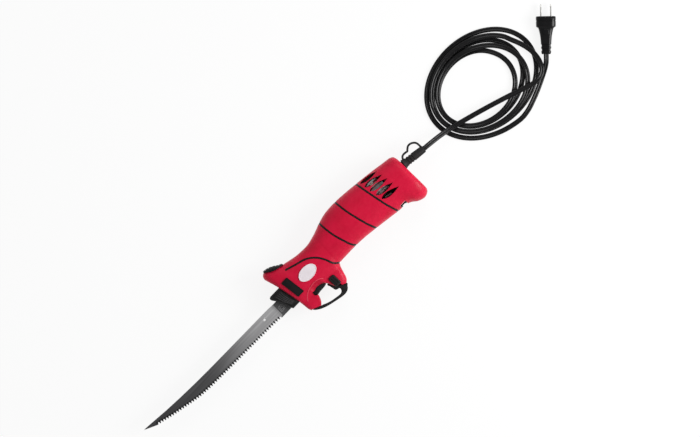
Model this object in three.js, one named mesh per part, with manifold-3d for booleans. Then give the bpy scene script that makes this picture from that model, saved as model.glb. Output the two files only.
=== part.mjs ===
// Corded electric fillet knife, lying on its side with its cord coiled behind it.
// x runs from the blade tip (negative) to the butt, y from the teeth towards the spine, and z up from the
// plane where the two housing halves meet. Millimetres throughout.

import * as THREE from "three";
import { mergeVertices } from "three/addons/utils/BufferGeometryUtils.js";
import Module from "manifold-3d";

const wasm = await Module();
wasm.setup();

// Fits
const GAP = 0.3;
const PARTING_GAP = 0.15;
const FAR = 60;

// Housing
const WALL = 2.5;
const SIDE_EXPONENT = 2.7;
const LOBE_EXPONENT = 4;
const FLAT_GAIN = 1.012;
const HALF_THICKNESS = 23;
const FLOOR_Z = -HALF_THICKNESS;
const SIDE_POINTS = 10;
const INNER_SIDE_POINTS = 7;
const INNER_SPACING = 13;
const GROOVE_DEPTH = 1.0;
const GROOVE_WIDTH = 2.6;
const BAND_WIDTH = 2.0;
const BAND_STEPS = 3;
const BAND_TOP_DEPTH = 0.15;
const BAND_FLOOR_DEPTH = 0.7;
const ACCENT_START_Z = 0.8;
const PLATE_HEIGHT = 0.9;
const PLATE_START_Z = 5;
const THUMB_RISE = 1.2;
const CAVITY = { x0: -4.5, x1: 203.3 };
const THUMB_BLOCK = { x1: 14, y0: 36.5 };
const FINGER_BLOCK = { x1: 34.5, y1: -7 };
const NOTCH_WALL = 3;
const COLLAR_POCKET = { x1: -6.2, y0: -8.4, y1: 23.6, half: 12.4 };
const TANG_POCKET = { x1: 0, y0: -6.9, y1: 14.9, half: 9.4 };
const LOCK_POCKET_FLOOR = 1.5;
const LOCK_MOUTH = { x0: 38.6, x1: 44.4, y1: -25 };
const PIN_HOLE_HALF = 10.5;
const AXLE_HOLE_HALF = 14.5;
const VENT_START_Z = 6;

// Screws and their bosses
const BOSS_RADIUS = 4.2;
const SCREW_HOLE_RADIUS = 1.75;
const SCREW_HEAD_HOLE_RADIUS = 3.5;
const SCREW_HEAD_FLOOR = -8.3;
const SCREW_HEAD_HEIGHT = 2.4;
const SCREW_HEAD_RADIUS = 3.0;
const SCREW_SHANK_RADIUS = 1.3;
const SCREW_POINT = 0.8;

// Blades
const BLADE_INNER_Z = 0.1;
const BLADE_OUTER_Z = 1.0;
const TOOTH_DEPTH = 2.8;
const TOOTH_COUNT = 54;
const RIVET = { x: -56.5, y: 8.3, radius: 1.2 };
const RIVET_SLOT_HALF = 7.3;
const SHOULDER_TOP_Z = 4.8;
const BLADE_SLOT = { y0: -6.3, y1: 14.4, half: 5.4 };

// Blade collar and release buttons
const COLLAR_HALF = 12;
const COLLAR_BEVEL = 1.2;
const BUTTON_POCKET_FLOOR = 7;
const BUTTON_POCKET_GAP = 0.5;
const BUTTON_BASE_Z = 9.3;
const BUTTON_TOP_Z = 12.4;
const RIDGE_BASE_Z = 12;
const RIDGE_TOP_Z = 13.1;
const RIDGE_WIDTH = 1.1;
const RIDGE_BOW = 0.8;

// Motor and gears
const MOTOR_Y = 21;
const CAN_RADIUS = 16.5;
const CAN_WALL = 1.3;
const CAN = { x0: 120, x1: 174 };
const FRONT_PLATE = { x0: 117.3, x1: 119.7 };
const END_CAP = { x0: 174.3, x1: 181, radius: 15.5 };
const MAGNET = { x0: 128, length: 40, inner: 12.2, spread: (62 * Math.PI) / 180, steps: 10 };
const ROTOR = { x0: 133, length: 30, poles: 5 };
const COMMUTATOR = { x0: 165, x1: 172, radius: 6 };
const FAN = { x0: 183, x1: 190, hub: 4.5, disc: 13, discStart: 188.6, blades: 7, clearance: 0.4 };
const FAN_BLADE = { length: 5.4, height: 9.4, thickness: 1.2, x: 186.2, radius: 8.2 };
const BEARING = { x0: 75, x1: 79.4, radius: 6 };
const SHAFT = { x0: 73, x1: 191 };
const SHAFT_RADIUS = 2.5;
const SHAFT_HOLE_GAP = 0.5;
const AXIAL_PITCH = Math.PI;
const WORM_TURNS = 3;
const WORM_STEPS = 10;
const WORM_OUTER = 5.25;
const WORM_ROOT = 3.4;
const WORM_SHOULDER = 2;
const WORM_SINK = 0.5;
const GEAR_TEETH = 18;
const GEAR_X = 92;
const GEAR_Y = 7.35;
const GEAR_HALF_WIDTH = 3;
const GEAR_OUTER = 9.75;
const GEAR_ROOT = 7.8;
const GEAR_PITCH_RADIUS = 9;
const WORM_PITCH_RADIUS = 4.5;
const ECCENTRIC_RADIUS = 5.5;
const STROKE = 3.5;
const AXLE_RADIUS = 1.5;
const AXLE_HALF = 14;
const GEAR_POST = { radius: 4.5, z0: 9, z1: 20.2 };

// Drive arms
const ARM_INNER_Z = 5.6;
const ARM_OUTER_Z = 8.4;
const YOKE_WALL_X = 3;
const YOKE_WALL_Y = 2.3;
const SHANK = { x0: 10, y0: 3.5, y1: 11.5 };
const SOCKET = { x0: -3, x1: 14, y0: -1.5, y1: 11.5 };
const ARM_GUIDE = { x0: 48, x1: 56, y0: -0.6, y1: 16, half: 11 };
const ARM_GUIDE_SLOT = { x0: 0, x1: 120, y0: 3.1, y1: 11.9, half: 8.8 };

// Ribs on the inside of each half: x, y and z ranges, with z counted outwards from the joint plane
const MOTOR_RIBS = [
  [126, 128.5, 6, 28, 10, 20.8],
  [163, 165.5, 4, 26, 10, 20.8],
];
const BEARING_RIB = [76, 79, 15, 27, 2, 18.6];
const GUIDE_RIB = [50.5, 53.5, 3.2, 16, 11.3, 17];
const MOTOR_SEAT_GAP = 0.6;
const BEARING_SEAT_GAP = 0.4;

// Switch gear
const TRIGGER_POCKET_GAP = 0.4;
const TRIGGER_PIN_HALF = 10;
const SWITCH = { x0: 20, x1: 36, y0: 0.6, y1: 17.5, half: 4.5 };
const SWITCH_POST = { x: 28, y: 14.8, radius: 3, z0: 4.9, z1: 17.6 };
const PLUNGER = { x: 27, radius: 1.5, y0: -4.2, y1: 3.2 };
const PLUNGER_BORE = { radius: 1.9, top: 6.2 };
const TRIGGER_SPRING = { x: 31, y: -4.2, length: 4.5, radius: 1.7, wire: 0.3, curls: 3 };
const LOCK_BUTTON = { x0: 37, x1: 46, y0: -28.5, y1: -13.9, corner: 4, z0: 6.5, z1: 15.8, bevel: 1.2 };
const LOCK_SPRING = { x: 41.5, y: -21.2, z: 1.8, length: 4.4, radius: 2.2, wire: 0.35, curls: 3 };
const BOARD_PLATE = { x0: 107.5, x1: 109.1, y0: -5.5, y1: 12.5, half: 10 };
const RECTIFIER = { x0: 108.5, x1: 112, y0: -3.5, y1: 1.5, half: 1.4, heights: [-7.5, -2.5, 2.5, 7.5] };
const CAPACITOR = { x0: 108.5, x1: 115.2, y: 7.5, radius: 3.2 };
const LEAD_RADIUS = 1.3;
const MOTOR_LEAD_START = 6;

// Cord: a flat twin cord
const CORD_WIDTH = 6.6;
const CORD_HEIGHT = 3.6;
const LAYER_STEP = 4.2;
const FLOOR_CLEARANCE = 0.05;
const LOOP_STEPS = 24;
const COIL_TURNS = 4.66;
const COIL_REVERSAL = 2;
const COIL_START_ANGLE = (25 * Math.PI) / 180;

// Plug: two flat blades at the usual spacing
const PRONG_SPACING = 12.7;
const PRONG_THICKNESS = 1.5;
const PRONG_LENGTH = 15.9;
const PRONG_SEAT = 5;
const PLUG_START = { x: 434.8, y: -14.8 };
const PLUG_ANGLE = (44.8 * Math.PI) / 180;
const PLUG_HEIGHT = 8.6;
const PLUG_LENGTH = 48;

// Colours
function paint(color, roughness, metalness) {
  return new THREE.MeshStandardMaterial({ color, roughness, metalness });
}
const RED = paint(0xc01530, 0.42, 0);
const BLACK = paint(0x17171a, 0.5, 0);
const RUBBER = paint(0x1c1c1f, 0.7, 0);
const GREY_PLASTIC = paint(0x3a3b3f, 0.55, 0);
const PALE = paint(0xe4dbe2, 0.4, 0);
const BLADE_STEEL = paint(0x77787c, 0.35, 0.9);
const STEEL = paint(0xa9acb0, 0.35, 1);
const DARK_STEEL = paint(0x6a6c70, 0.45, 0.9);
const BRASS = paint(0xc9a24a, 0.35, 1);
const COPPER = paint(0xb0663a, 0.4, 1);
const NYLON = paint(0xded9c9, 0.55, 0);
const BOARD = paint(0x2f6a3c, 0.6, 0);
const CERAMIC = paint(0x2b2b2e, 0.8, 0);

// Basic solids

function solidOf(geometry) {
  const bare = geometry.clone();
  bare.deleteAttribute("normal");
  bare.deleteAttribute("uv");
  const merged = mergeVertices(bare, 1e-4);
  const source = merged.index.array;
  const kept = [];
  for (let i = 0; i < source.length; i += 3) {
    const a = source[i];
    const b = source[i + 1];
    const c = source[i + 2];
    if (a !== b && b !== c && c !== a) {
      kept.push(a, b, c);
    }
  }
  const mesh = new wasm.Mesh({
    numProp: 3,
    vertProperties: new Float32Array(merged.attributes.position.array),
    triVerts: new Uint32Array(kept),
  });
  return new wasm.Manifold(mesh);
}

function geometryOf(solid) {
  const mesh = solid.getMesh();
  const geometry = new THREE.BufferGeometry();
  geometry.setAttribute("position", new THREE.BufferAttribute(new Float32Array(mesh.vertProperties), 3));
  geometry.setIndex(new THREE.BufferAttribute(new Uint32Array(mesh.triVerts), 1));
  geometry.computeVertexNormals();
  return geometry;
}

function box(x0, x1, y0, y1, z0, z1) {
  const geometry = new THREE.BoxGeometry(x1 - x0, y1 - y0, z1 - z0);
  geometry.translate((x0 + x1) / 2, (y0 + y1) / 2, (z0 + z1) / 2);
  return solidOf(geometry);
}

function pinAlongZ(x, y, radius, z0, z1, sides = 20) {
  const geometry = new THREE.CylinderGeometry(radius, radius, z1 - z0, sides);
  geometry.rotateX(Math.PI / 2);
  geometry.translate(x, y, (z0 + z1) / 2);
  return solidOf(geometry);
}

function pinAlongX(y, z, radius, x0, x1, sides = 24) {
  const geometry = new THREE.CylinderGeometry(radius, radius, x1 - x0, sides);
  geometry.rotateZ(Math.PI / 2);
  geometry.translate((x0 + x1) / 2, y, z);
  return solidOf(geometry);
}

function pinAlongY(x, z, radius, y0, y1, sides = 16) {
  const geometry = new THREE.CylinderGeometry(radius, radius, y1 - y0, sides);
  geometry.translate(x, (y0 + y1) / 2, z);
  return solidOf(geometry);
}

function planShape(outline) {
  return new THREE.Shape(outline.map(([x, y]) => new THREE.Vector2(x, y)));
}

function prism(outline, z0, z1) {
  const geometry = new THREE.ExtrudeGeometry(planShape(outline), { depth: z1 - z0, bevelEnabled: false });
  geometry.translate(0, 0, z0);
  return solidOf(geometry);
}

function bevelledPrism(outline, z0, z1, bevel) {
  const geometry = new THREE.ExtrudeGeometry(planShape(outline), {
    depth: z1 - z0 - 2 * bevel,
    bevelEnabled: true,
    bevelThickness: bevel,
    bevelSize: bevel,
    bevelOffset: -bevel,
    bevelSegments: 2,
  });
  geometry.translate(0, 0, z0 + bevel);
  return solidOf(geometry);
}

// A turned piece about an axis along z: the profile lists [z, radius]
function turnedAlongZ(profile, x, y, sides = 14) {
  const points = profile.map(([z, radius]) => new THREE.Vector2(radius, z));
  const geometry = new THREE.LatheGeometry(points, sides);
  geometry.rotateX(Math.PI / 2);
  geometry.translate(x, y, 0);
  return outward(solidOf(geometry), geometry);
}

// Turns a solid whose faces came out reversed
function outward(solid, geometry) {
  if (solid.volume() > 0) {
    return solid;
  }
  const flipped = geometry.toNonIndexed();
  const position = flipped.attributes.position;
  for (let i = 0; i < position.count; i += 3) {
    const first = new THREE.Vector3().fromBufferAttribute(position, i);
    const second = new THREE.Vector3().fromBufferAttribute(position, i + 1);
    position.setXYZ(i, second.x, second.y, second.z);
    position.setXYZ(i + 1, first.x, first.y, first.z);
  }
  return solidOf(flipped);
}

// A solid through closed rings of equal count, each end closed by a fan about its middle
function loft(rings) {
  const count = rings[0].length;
  const position = [];
  for (const ring of rings) {
    for (const point of ring) {
      position.push(point.x, point.y, point.z);
    }
  }
  const index = [];
  for (let r = 0; r + 1 < rings.length; r += 1) {
    for (let i = 0; i < count; i += 1) {
      const a = r * count + i;
      const b = r * count + ((i + 1) % count);
      index.push(a, b, b + count, a, b + count, a + count);
    }
  }
  const closeEnd = (ringIndex, reversed) => {
    const ring = rings[ringIndex];
    const middle = new THREE.Vector3();
    for (const point of ring) {
      middle.addScaledVector(point, 1 / count);
    }
    const hub = position.length / 3;
    position.push(middle.x, middle.y, middle.z);
    for (let i = 0; i < count; i += 1) {
      const a = ringIndex * count + i;
      const b = ringIndex * count + ((i + 1) % count);
      if (reversed) {
        index.push(hub, b, a);
      } else {
        index.push(hub, a, b);
      }
    }
  };
  closeEnd(0, true);
  closeEnd(rings.length - 1, false);
  const geometry = new THREE.BufferGeometry();
  geometry.setAttribute("position", new THREE.Float32BufferAttribute(position, 3));
  geometry.setIndex(index);
  return outward(solidOf(geometry), geometry);
}

// The same piece on the other side of the joint plane
function mirrored(solid) {
  const geometry = geometryOf(solid);
  geometry.scale(1, 1, -1);
  return outward(solidOf(geometry), geometry);
}

function unite(solids) {
  return solids.reduce((whole, solid) => whole.add(solid));
}

// Handle body
// Each row is one cross-section: spine x, spine y, keel x, keel y, belly y, half thickness of the handle,
// half thickness of the lobe round the finger hole, and how far the section bows towards the butt.
const SECTIONS = [
  [-19.6, 43.2, -7.6, -22.0, -13.0, 12.5, 9.5, 2.2],
  [-18.6, 46.8, -6.6, -25.0, -13.2, 14.8, 11.6, 2.1],
  [-15.7, 49.7, -4.5, -28.0, -13.4, 16.2, 12.8, 1.9],
  [-11.0, 50.5, -1.5, -30.5, -13.4, 16.9, 13.3, 1.6],
  [-5.0, 49.0, 3.0, -32.5, -13.2, 17.4, 13.5, 1.2],
  [1.0, 46.0, 8.0, -34.0, -13.0, 17.7, 13.5, 0.8],
  [6.0, 42.6, 13.0, -35.0, -13.0, 17.9, 13.5, 0.5],
  [12.0, 39.9, 18.0, -35.5, -13.0, 18.0, 13.5, 0.2],
  [20.0, 37.9, 25.0, -36.0, -13.0, 18.0, 13.5, 0],
  [30.0, 35.8, 33.0, -36.3, -13.0, 18.0, 13.5, 0],
  [40.0, 35.0, 42.0, -36.0, -12.8, 18.0, 13.5, 0],
  [47.0, 34.9, 48.0, -35.0, -12.5, 18.0, 13.5, 0],
  [52.0, 35.3, 52.4, -32.0, -12.3, 18.1, 13.3, 0],
  [55.0, 35.9, 55.0, -28.0, -12.0, 18.3, 12.8, 0],
  [58.0, 36.6, 57.3, -21.0, -11.5, 18.6, 11.5, 0],
  [61.0, 37.4, 59.7, -14.0, -11.0, 19.0, 8.5, 0],
  [65.0, 38.5, 63.5, -10.3, -10.3, 19.4, 0, 0],
  [72.0, 40.8, 75.0, -9.8, -9.8, 20.0, 0, 0],
  [80.0, 43.7, 91.0, -9.7, -9.7, 21.2, 0, 0],
  [95.0, 47.2, 108.0, -10.7, -10.7, 22.5, 0, 0],
  [113.0, 47.8, 126.0, -13.0, -13.0, 23.0, 0, 0],
  [130.0, 46.6, 143.0, -15.4, -15.4, 23.0, 0, 0],
  [148.0, 44.6, 160.5, -18.0, -18.0, 23.0, 0, 0],
  [165.0, 42.4, 172.0, -19.2, -19.2, 23.0, 0, 0],
  [178.0, 40.6, 180.0, -21.7, -21.7, 23.0, 0, 0],
  [188.0, 38.9, 187.5, -27.2, -27.2, 23.0, 0, 0],
  [197.0, 37.5, 195.5, -30.0, -30.0, 23.0, 0, 0],
  [202.0, 36.4, 201.5, -29.0, -29.0, 22.4, 0, 0],
  [205.6, 33.9, 205.6, -25.9, -25.9, 20.3, 0, 0],
  [207.0, 29.5, 206.9, -21.7, -21.7, 16.5, 0, 0],
];

function smoothCurve(points) {
  return new THREE.CatmullRomCurve3(points, false, "catmullrom", 0.5);
}
const SPINE_CURVE = smoothCurve(SECTIONS.map((row) => new THREE.Vector3(row[0], row[1], row[5])));
const KEEL_CURVE = smoothCurve(SECTIONS.map((row) => new THREE.Vector3(row[2], row[3], row[6])));
const BELLY_CURVE = smoothCurve(SECTIONS.map((row) => new THREE.Vector3(row[4], row[7], 0)));

function roundness(position, exponent) {
  const rest = Math.max(0, 1 - Math.abs(position) ** exponent);
  return rest ** (1 / exponent);
}

// Points of one side of a section, from the keel (or the belly) to the spine
function sidePoints(t, offset, lobed, count) {
  const u = t / (SECTIONS.length - 1);
  const spine = SPINE_CURVE.getPoint(u);
  const keel = KEEL_CURVE.getPoint(u);
  const extra = BELLY_CURVE.getPoint(u);
  const across = new THREE.Vector2(spine.x - keel.x, spine.y - keel.y);
  const length = across.length();
  across.normalize();
  const belly = Math.max(0, (extra.x - keel.y) / (spine.y - keel.y)) * length;
  const mainStart = belly - offset;
  const start = lobed ? -offset : mainStart;
  const end = length + offset;
  const half = Math.min(spine.z, HALF_THICKNESS) + offset;
  const lobe = lobed && keel.z > 0.01 ? keel.z + offset : 0;
  const points = [];
  for (let i = 0; i < count; i += 1) {
    const v = (1 - Math.cos((Math.PI * i) / (count - 1))) / 2;
    const s = start + (end - start) * v;
    const w = (s - mainStart) / (end - mainStart);
    const main = w > 0 ? half * Math.min(1, FLAT_GAIN * roundness(2 * w - 1, SIDE_EXPONENT)) : 0;
    const low = Math.max(0, lobe) * roundness((2 * (s + offset)) / (length + 2 * offset) - 1, LOBE_EXPONENT);
    const edge = i === 0 || i === count - 1;
    const z = edge ? 0 : (main ** 4 + low ** 4) ** 0.25;
    const bow = extra.y * (1 - (2 * v - 1) ** 2);
    points.push(new THREE.Vector3(keel.x + across.x * s + bow, keel.y + across.y * s, z));
  }
  return points;
}

// The body grown by an offset (or shrunk, if it is negative), with or without the lobe round the finger hole
function bodySolid(offset, lobed = true, count = SIDE_POINTS, spacing = 0) {
  const last = SECTIONS.length - 1;
  const stations = [0];
  for (let k = 1; k < last; k += 1) {
    const before = SECTIONS[stations[stations.length - 1]][0];
    if (SECTIONS[k][0] - before >= spacing) {
      stations.push(k);
    }
  }
  stations.push(last);
  const position = [];
  const size = 2 * count - 2;
  for (const t of stations) {
    const side = sidePoints(t, offset, lobed, count);
    for (const point of side) {
      position.push(point.x, point.y, point.z);
    }
    for (let i = count - 2; i > 0; i -= 1) {
      position.push(side[i].x, side[i].y, -side[i].z);
    }
  }
  const index = [];
  for (let r = 0; r + 1 < stations.length; r += 1) {
    for (let i = 0; i < size; i += 1) {
      const a = r * size + i;
      const b = r * size + ((i + 1) % size);
      index.push(a, b, b + size, a, b + size, a + size);
    }
  }
  const closeEnd = (ring, reversed) => {
    const base = ring * size;
    for (let i = 0; i + 1 < count; i += 1) {
      const upper = base + i;
      const upperNext = base + i + 1;
      const lower = base + ((size - i) % size);
      const lowerNext = base + ((size - i - 1) % size);
      for (const [a, b, c] of [
        [upper, upperNext, lowerNext],
        [upper, lowerNext, lower],
      ]) {
        if (a !== b && b !== c && c !== a) {
          index.push(a, reversed ? c : b, reversed ? b : c);
        }
      }
    }
  };
  closeEnd(0, true);
  closeEnd(stations.length - 1, false);
  const geometry = new THREE.BufferGeometry();
  geometry.setAttribute("position", new THREE.Float32BufferAttribute(position, 3));
  geometry.setIndex(index);
  return outward(solidOf(geometry), geometry);
}

// Plan outlines of the handle's openings and inlays

// Front wall, roof and rear wall of the finger hole: x, y and how far its rounded rim reaches outwards
const FINGER_WALL = [
  [7.9, -31.2, 10.0],
  [10.2, -27.9, 11.0],
  [12.2, -24.5, 11.5],
  [13.8, -20.6, 11.0],
  [14.5, -16.8, 10.0],
  [14.8, -13.6, 8.5],
  [15.9, -11.5, 7.0],
  [18.4, -10.6, 6.2],
  [23.5, -10.9, 6.0],
  [28.2, -12.6, 5.5],
  [31.3, -16.4, 4.5],
  [33.6, -21.0, 3.5],
  [35.5, -26.0, 2.5],
  [37.2, -28.6, 2.0],
];
// Points that close the finger hole's outline below its mouth
const RIM_CLOSING = [
  [38.0, -38.0, 0],
  [7.0, -42.0, 0],
];
// Heights of the rim's rings and the share of the reach that each one takes
const RIM_LEVELS = [
  [5.0, 0],
  [8.0, 0],
  [12.4, 0.165],
  [15.0, 0.52],
  [16.0, 0.95],
  [21.0, 1.9],
];
// What is cut away below the handle, round the guard
const BELOW_START = [
  [-16.0, -26.4],
  [-3.5, -26.4],
  [3.0, -29.0],
  [7.2, -30.7],
];
const BELOW_END = [
  [41.5, -29.9],
  [46.0, -32.1],
  [50.6, -34.3],
  [60.0, -38.0],
  [60.0, -70.0],
  [-16.0, -70.0],
];
const TRIGGER_POCKET = [
  [5.0, -5.0],
  [5.0, -10.5],
  [8.6, -11.6],
  [10.4, -12.4],
  [10.4, -16.0],
  [11.2, -18.2],
  [13.3, -19.6],
  [15.8, -19.4],
  [20.0, -18.2],
  [31.4, -18.2],
  [33.6, -11.0],
  [33.6, -5.0],
];
// What is cut through the front of the finger hole, round the trigger's pad
const TRIGGER_RECESS = [
  [10.4, -11.6],
  [10.4, -16.0],
  [11.2, -18.2],
  [13.3, -19.6],
  [15.8, -19.4],
  [17.5, -17.8],
  [17.5, -11.6],
];
const GUARD_HALF = 5;

const GUARD_OUTLINE = [
  [-3.4, -26.8],
  [-2.7, -28.6],
  [0.2, -31.1],
  [5.0, -34.4],
  [12.0, -37.3],
  [20.0, -39.4],
  [30.0, -41.6],
  [36.5, -42.8],
  [41.5, -42.6],
  [45.5, -40.5],
  [48.0, -37.4],
  [50.2, -34.7],
  [46.0, -32.5],
  [41.3, -30.3],
  [36.9, -29.1],
  [35.0, -26.3],
  [33.1, -21.3],
  [31.6, -18.4],
  [30.1, -19.0],
  [31.2, -22.2],
  [32.3, -27.4],
  [32.9, -31.0],
  [35.6, -32.3],
  [38.8, -32.7],
  [39.5, -34.0],
  [39.2, -36.0],
  [37.4, -38.0],
  [34.2, -38.9],
  [30.0, -38.5],
  [20.0, -36.5],
  [13.0, -34.4],
  [9.6, -32.6],
  [6.9, -31.1],
  [3.0, -29.4],
];

const TRIGGER_OUTLINE = [
  [5.6, -7.5],
  [6.4, -5.3],
  [8.5, -4.5],
  [20.0, -4.5],
  [33.0, -4.5],
  [33.0, -7.5],
  [30.2, -9.0],
  [30.4, -13.2],
  [29.4, -15.4],
  [27.4, -16.0],
  [23.5, -16.2],
  [19.6, -16.6],
  [17.4, -17.4],
  [15.4, -18.8],
  [13.6, -19.0],
  [11.8, -17.8],
  [11.0, -15.8],
  [10.9, -12.6],
  [9.0, -10.6],
  [6.4, -9.8],
];
const TRIGGER_PIVOT = { x: 8.5, y: -7.5, radius: 1.2 };
const TRIGGER_HALF_WIDTH = 6.4;

// Floor of the thumb rest, and the ends of its pad
const THUMB_LINE = [
  [-14.4, 50.6],
  [-12.5, 49.4],
  [-9.0, 46.8],
  [-4.0, 43.4],
  [2.0, 41.7],
  [9.5, 40.2],
  [13.0, 39.2],
];
const THUMB_TOP = [
  [13.0, 70.0],
  [-14.4, 70.0],
];
const THUMB_PAD = { x0: -14, x1: 12 };
const LABEL_OUTLINE = [
  [-8.0, 25.0],
  [-5.0, -2.5],
  [5.4, -2.4],
  [2.4, 25.4],
];
const BADGE = { x: 25, y: 10.5, halfLength: 13.5, halfHeight: 8.5 };
const BAND_LINES = {
  grip_band_front: [
    [80.0, 50.0],
    [80.0, 43.5],
    [80.2, 35.0],
    [82.0, 20.0],
    [86.0, 5.0],
    [89.0, -4.0],
    [93.0, -10.0],
    [97.0, -15.5],
  ],
  grip_band_middle: [
    [112.8, 54.0],
    [113.0, 47.5],
    [115.0, 28.0],
    [120.0, 5.0],
    [123.0, -5.0],
    [126.0, -13.0],
    [128.5, -19.0],
  ],
  grip_band_rear: [
    [147.2, 51.0],
    [148.0, 44.3],
    [150.5, 28.0],
    [155.0, 3.0],
    [158.0, -9.0],
    [160.5, -17.5],
    [162.5, -24.0],
  ],
};
const ACCENT_LINE = [
  [7.5, 33.0],
  [21.5, 28.6],
  [35.5, 24.2],
  [45.3, 16.8],
  [51.9, 7.0],
  [56.0, -3.8],
  [62.0, -9.8],
  [66.0, -13.5],
];
// Vents: the two tips of each leaf and its half width
const VENTS = [
  [152.0, 41.0, 178.5, 36.5, 2.2],
  [152.0, 34.0, 180.0, 29.0, 2.8],
  [153.5, 26.0, 181.5, 20.5, 3.0],
  [155.5, 17.5, 182.5, 11.5, 3.0],
  [157.0, 8.5, 184.5, 3.0, 3.0],
];
const NOTCH = { x0: 167.4, x1: 176.4, top: -15 };
const LINER = { wall: 1.8, bottom: -18.2, half: 14 };
// Housing screws: x and y of each boss, and the height of the screw's tip
const SCREWS = [
  [1.0, 31.5, 12.2],
  [50.6, -24.0, 6.2],
  [66.0, 32.0, 12.2],
  [110.0, 38.0, 12.2],
  [194.0, -20.0, 12.2],
  [196.0, 30.5, 12.2],
];

function roundedRectangle(x0, x1, y0, y1, radius, steps = 4) {
  const outline = [];
  const corners = [
    [x1 - radius, y0 + radius, -Math.PI / 2],
    [x1 - radius, y1 - radius, 0],
    [x0 + radius, y1 - radius, Math.PI / 2],
    [x0 + radius, y0 + radius, Math.PI],
  ];
  for (const [x, y, turn] of corners) {
    for (let i = 0; i <= steps; i += 1) {
      const angle = turn + (Math.PI / 2) * (i / steps);
      outline.push([x + radius * Math.cos(angle), y + radius * Math.sin(angle)]);
    }
  }
  return outline;
}

function ellipse(x, y, halfLength, halfHeight, count = 24) {
  const outline = [];
  for (let i = 0; i < count; i += 1) {
    const angle = (2 * Math.PI * i) / count;
    outline.push([x + halfLength * Math.cos(angle), y + halfHeight * Math.sin(angle)]);
  }
  return outline;
}

// A strip of one width along a plan line
function ribbon(line, width, steps, z0, z1) {
  const curve = new THREE.SplineCurve(line.map(([x, y]) => new THREE.Vector2(x, y)));
  const left = [];
  const right = [];
  for (let i = 0; i <= steps; i += 1) {
    const point = curve.getPoint(i / steps);
    const along = curve.getTangent(i / steps);
    left.push([point.x - (along.y * width) / 2, point.y + (along.x * width) / 2]);
    right.unshift([point.x + (along.y * width) / 2, point.y - (along.x * width) / 2]);
  }
  return prism([...right, ...left], z0, z1);
}

function leaf([x0, y0, x1, y1, halfWidth]) {
  const length = Math.hypot(x1 - x0, y1 - y0);
  const along = [(x1 - x0) / length, (y1 - y0) / length];
  const upper = [];
  const lower = [];
  const steps = 4;
  for (let i = 0; i <= steps; i += 1) {
    const s = i / steps;
    const w = halfWidth * Math.sin(Math.PI * s ** 0.72);
    const x = x0 + along[0] * length * s;
    const y = y0 + along[1] * length * s;
    upper.push([x - along[1] * w, y + along[0] * w]);
    if (i > 0 && i < steps) {
      lower.unshift([x + along[1] * w, y - along[0] * w]);
    }
  }
  return [...upper, ...lower];
}

// The rounded rim of the finger hole on one side, as a solid to take away
function fingerRim(side) {
  const outline = [...FINGER_WALL, ...RIM_CLOSING];
  const count = outline.length;
  const rings = RIM_LEVELS.map(([z, share]) =>
    outline.map(([x, y, reach], i) => {
      const before = outline[(i + count - 1) % count];
      const after = outline[(i + 1) % count];
      const along = new THREE.Vector2(after[0] - before[0], after[1] - before[1]).normalize();
      return new THREE.Vector3(x - along.y * reach * share, y + along.x * reach * share, side * z);
    }),
  );
  return loft(rings);
}

// Housing halves

const outerBody = bodySolid(0);
const grooveFloor = bodySolid(-GROOVE_DEPTH);
const bandTop = bodySolid(-BAND_TOP_DEPTH);
const bandFloor = bodySolid(-BAND_FLOOR_DEPTH);
const plateTop = bodySolid(PLATE_HEIGHT);
const plateFloor = bodySolid(GAP);

function cavitySolid() {
  const inner = bodySolid(-WALL, false, INNER_SIDE_POINTS, INNER_SPACING);
  const keptSolid = unite([
    box(-FAR, THUMB_BLOCK.x1, THUMB_BLOCK.y0, FAR, -FAR, FAR),
    box(-FAR, FINGER_BLOCK.x1, -FAR, FINGER_BLOCK.y1, -FAR, FAR),
    box(NOTCH.x0 - NOTCH_WALL, NOTCH.x1 + NOTCH_WALL, -FAR, NOTCH.top + NOTCH_WALL, -FAR, FAR),
  ]);
  return inner.intersect(box(CAVITY.x0, CAVITY.x1, -FAR, FAR, -FAR, FAR)).subtract(keptSolid);
}

// A range of heights on one side of the joint plane
function sideSpan(side, near, far) {
  return side > 0 ? [near, far] : [-far, -near];
}

function ribSolid(side, [x0, x1, y0, y1, near, far]) {
  return box(x0, x1, y0, y1, ...sideSpan(side, near, far));
}

function frontPocket({ x1, y0, y1, half }) {
  return box(-FAR, x1, y0, y1, -half, half);
}

function lockOutline(gap) {
  const { x0, x1, y0, y1, corner } = LOCK_BUTTON;
  return roundedRectangle(x0 - gap, x1 + gap, y0 - gap, y1 + gap, corner + gap, 3);
}

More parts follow.
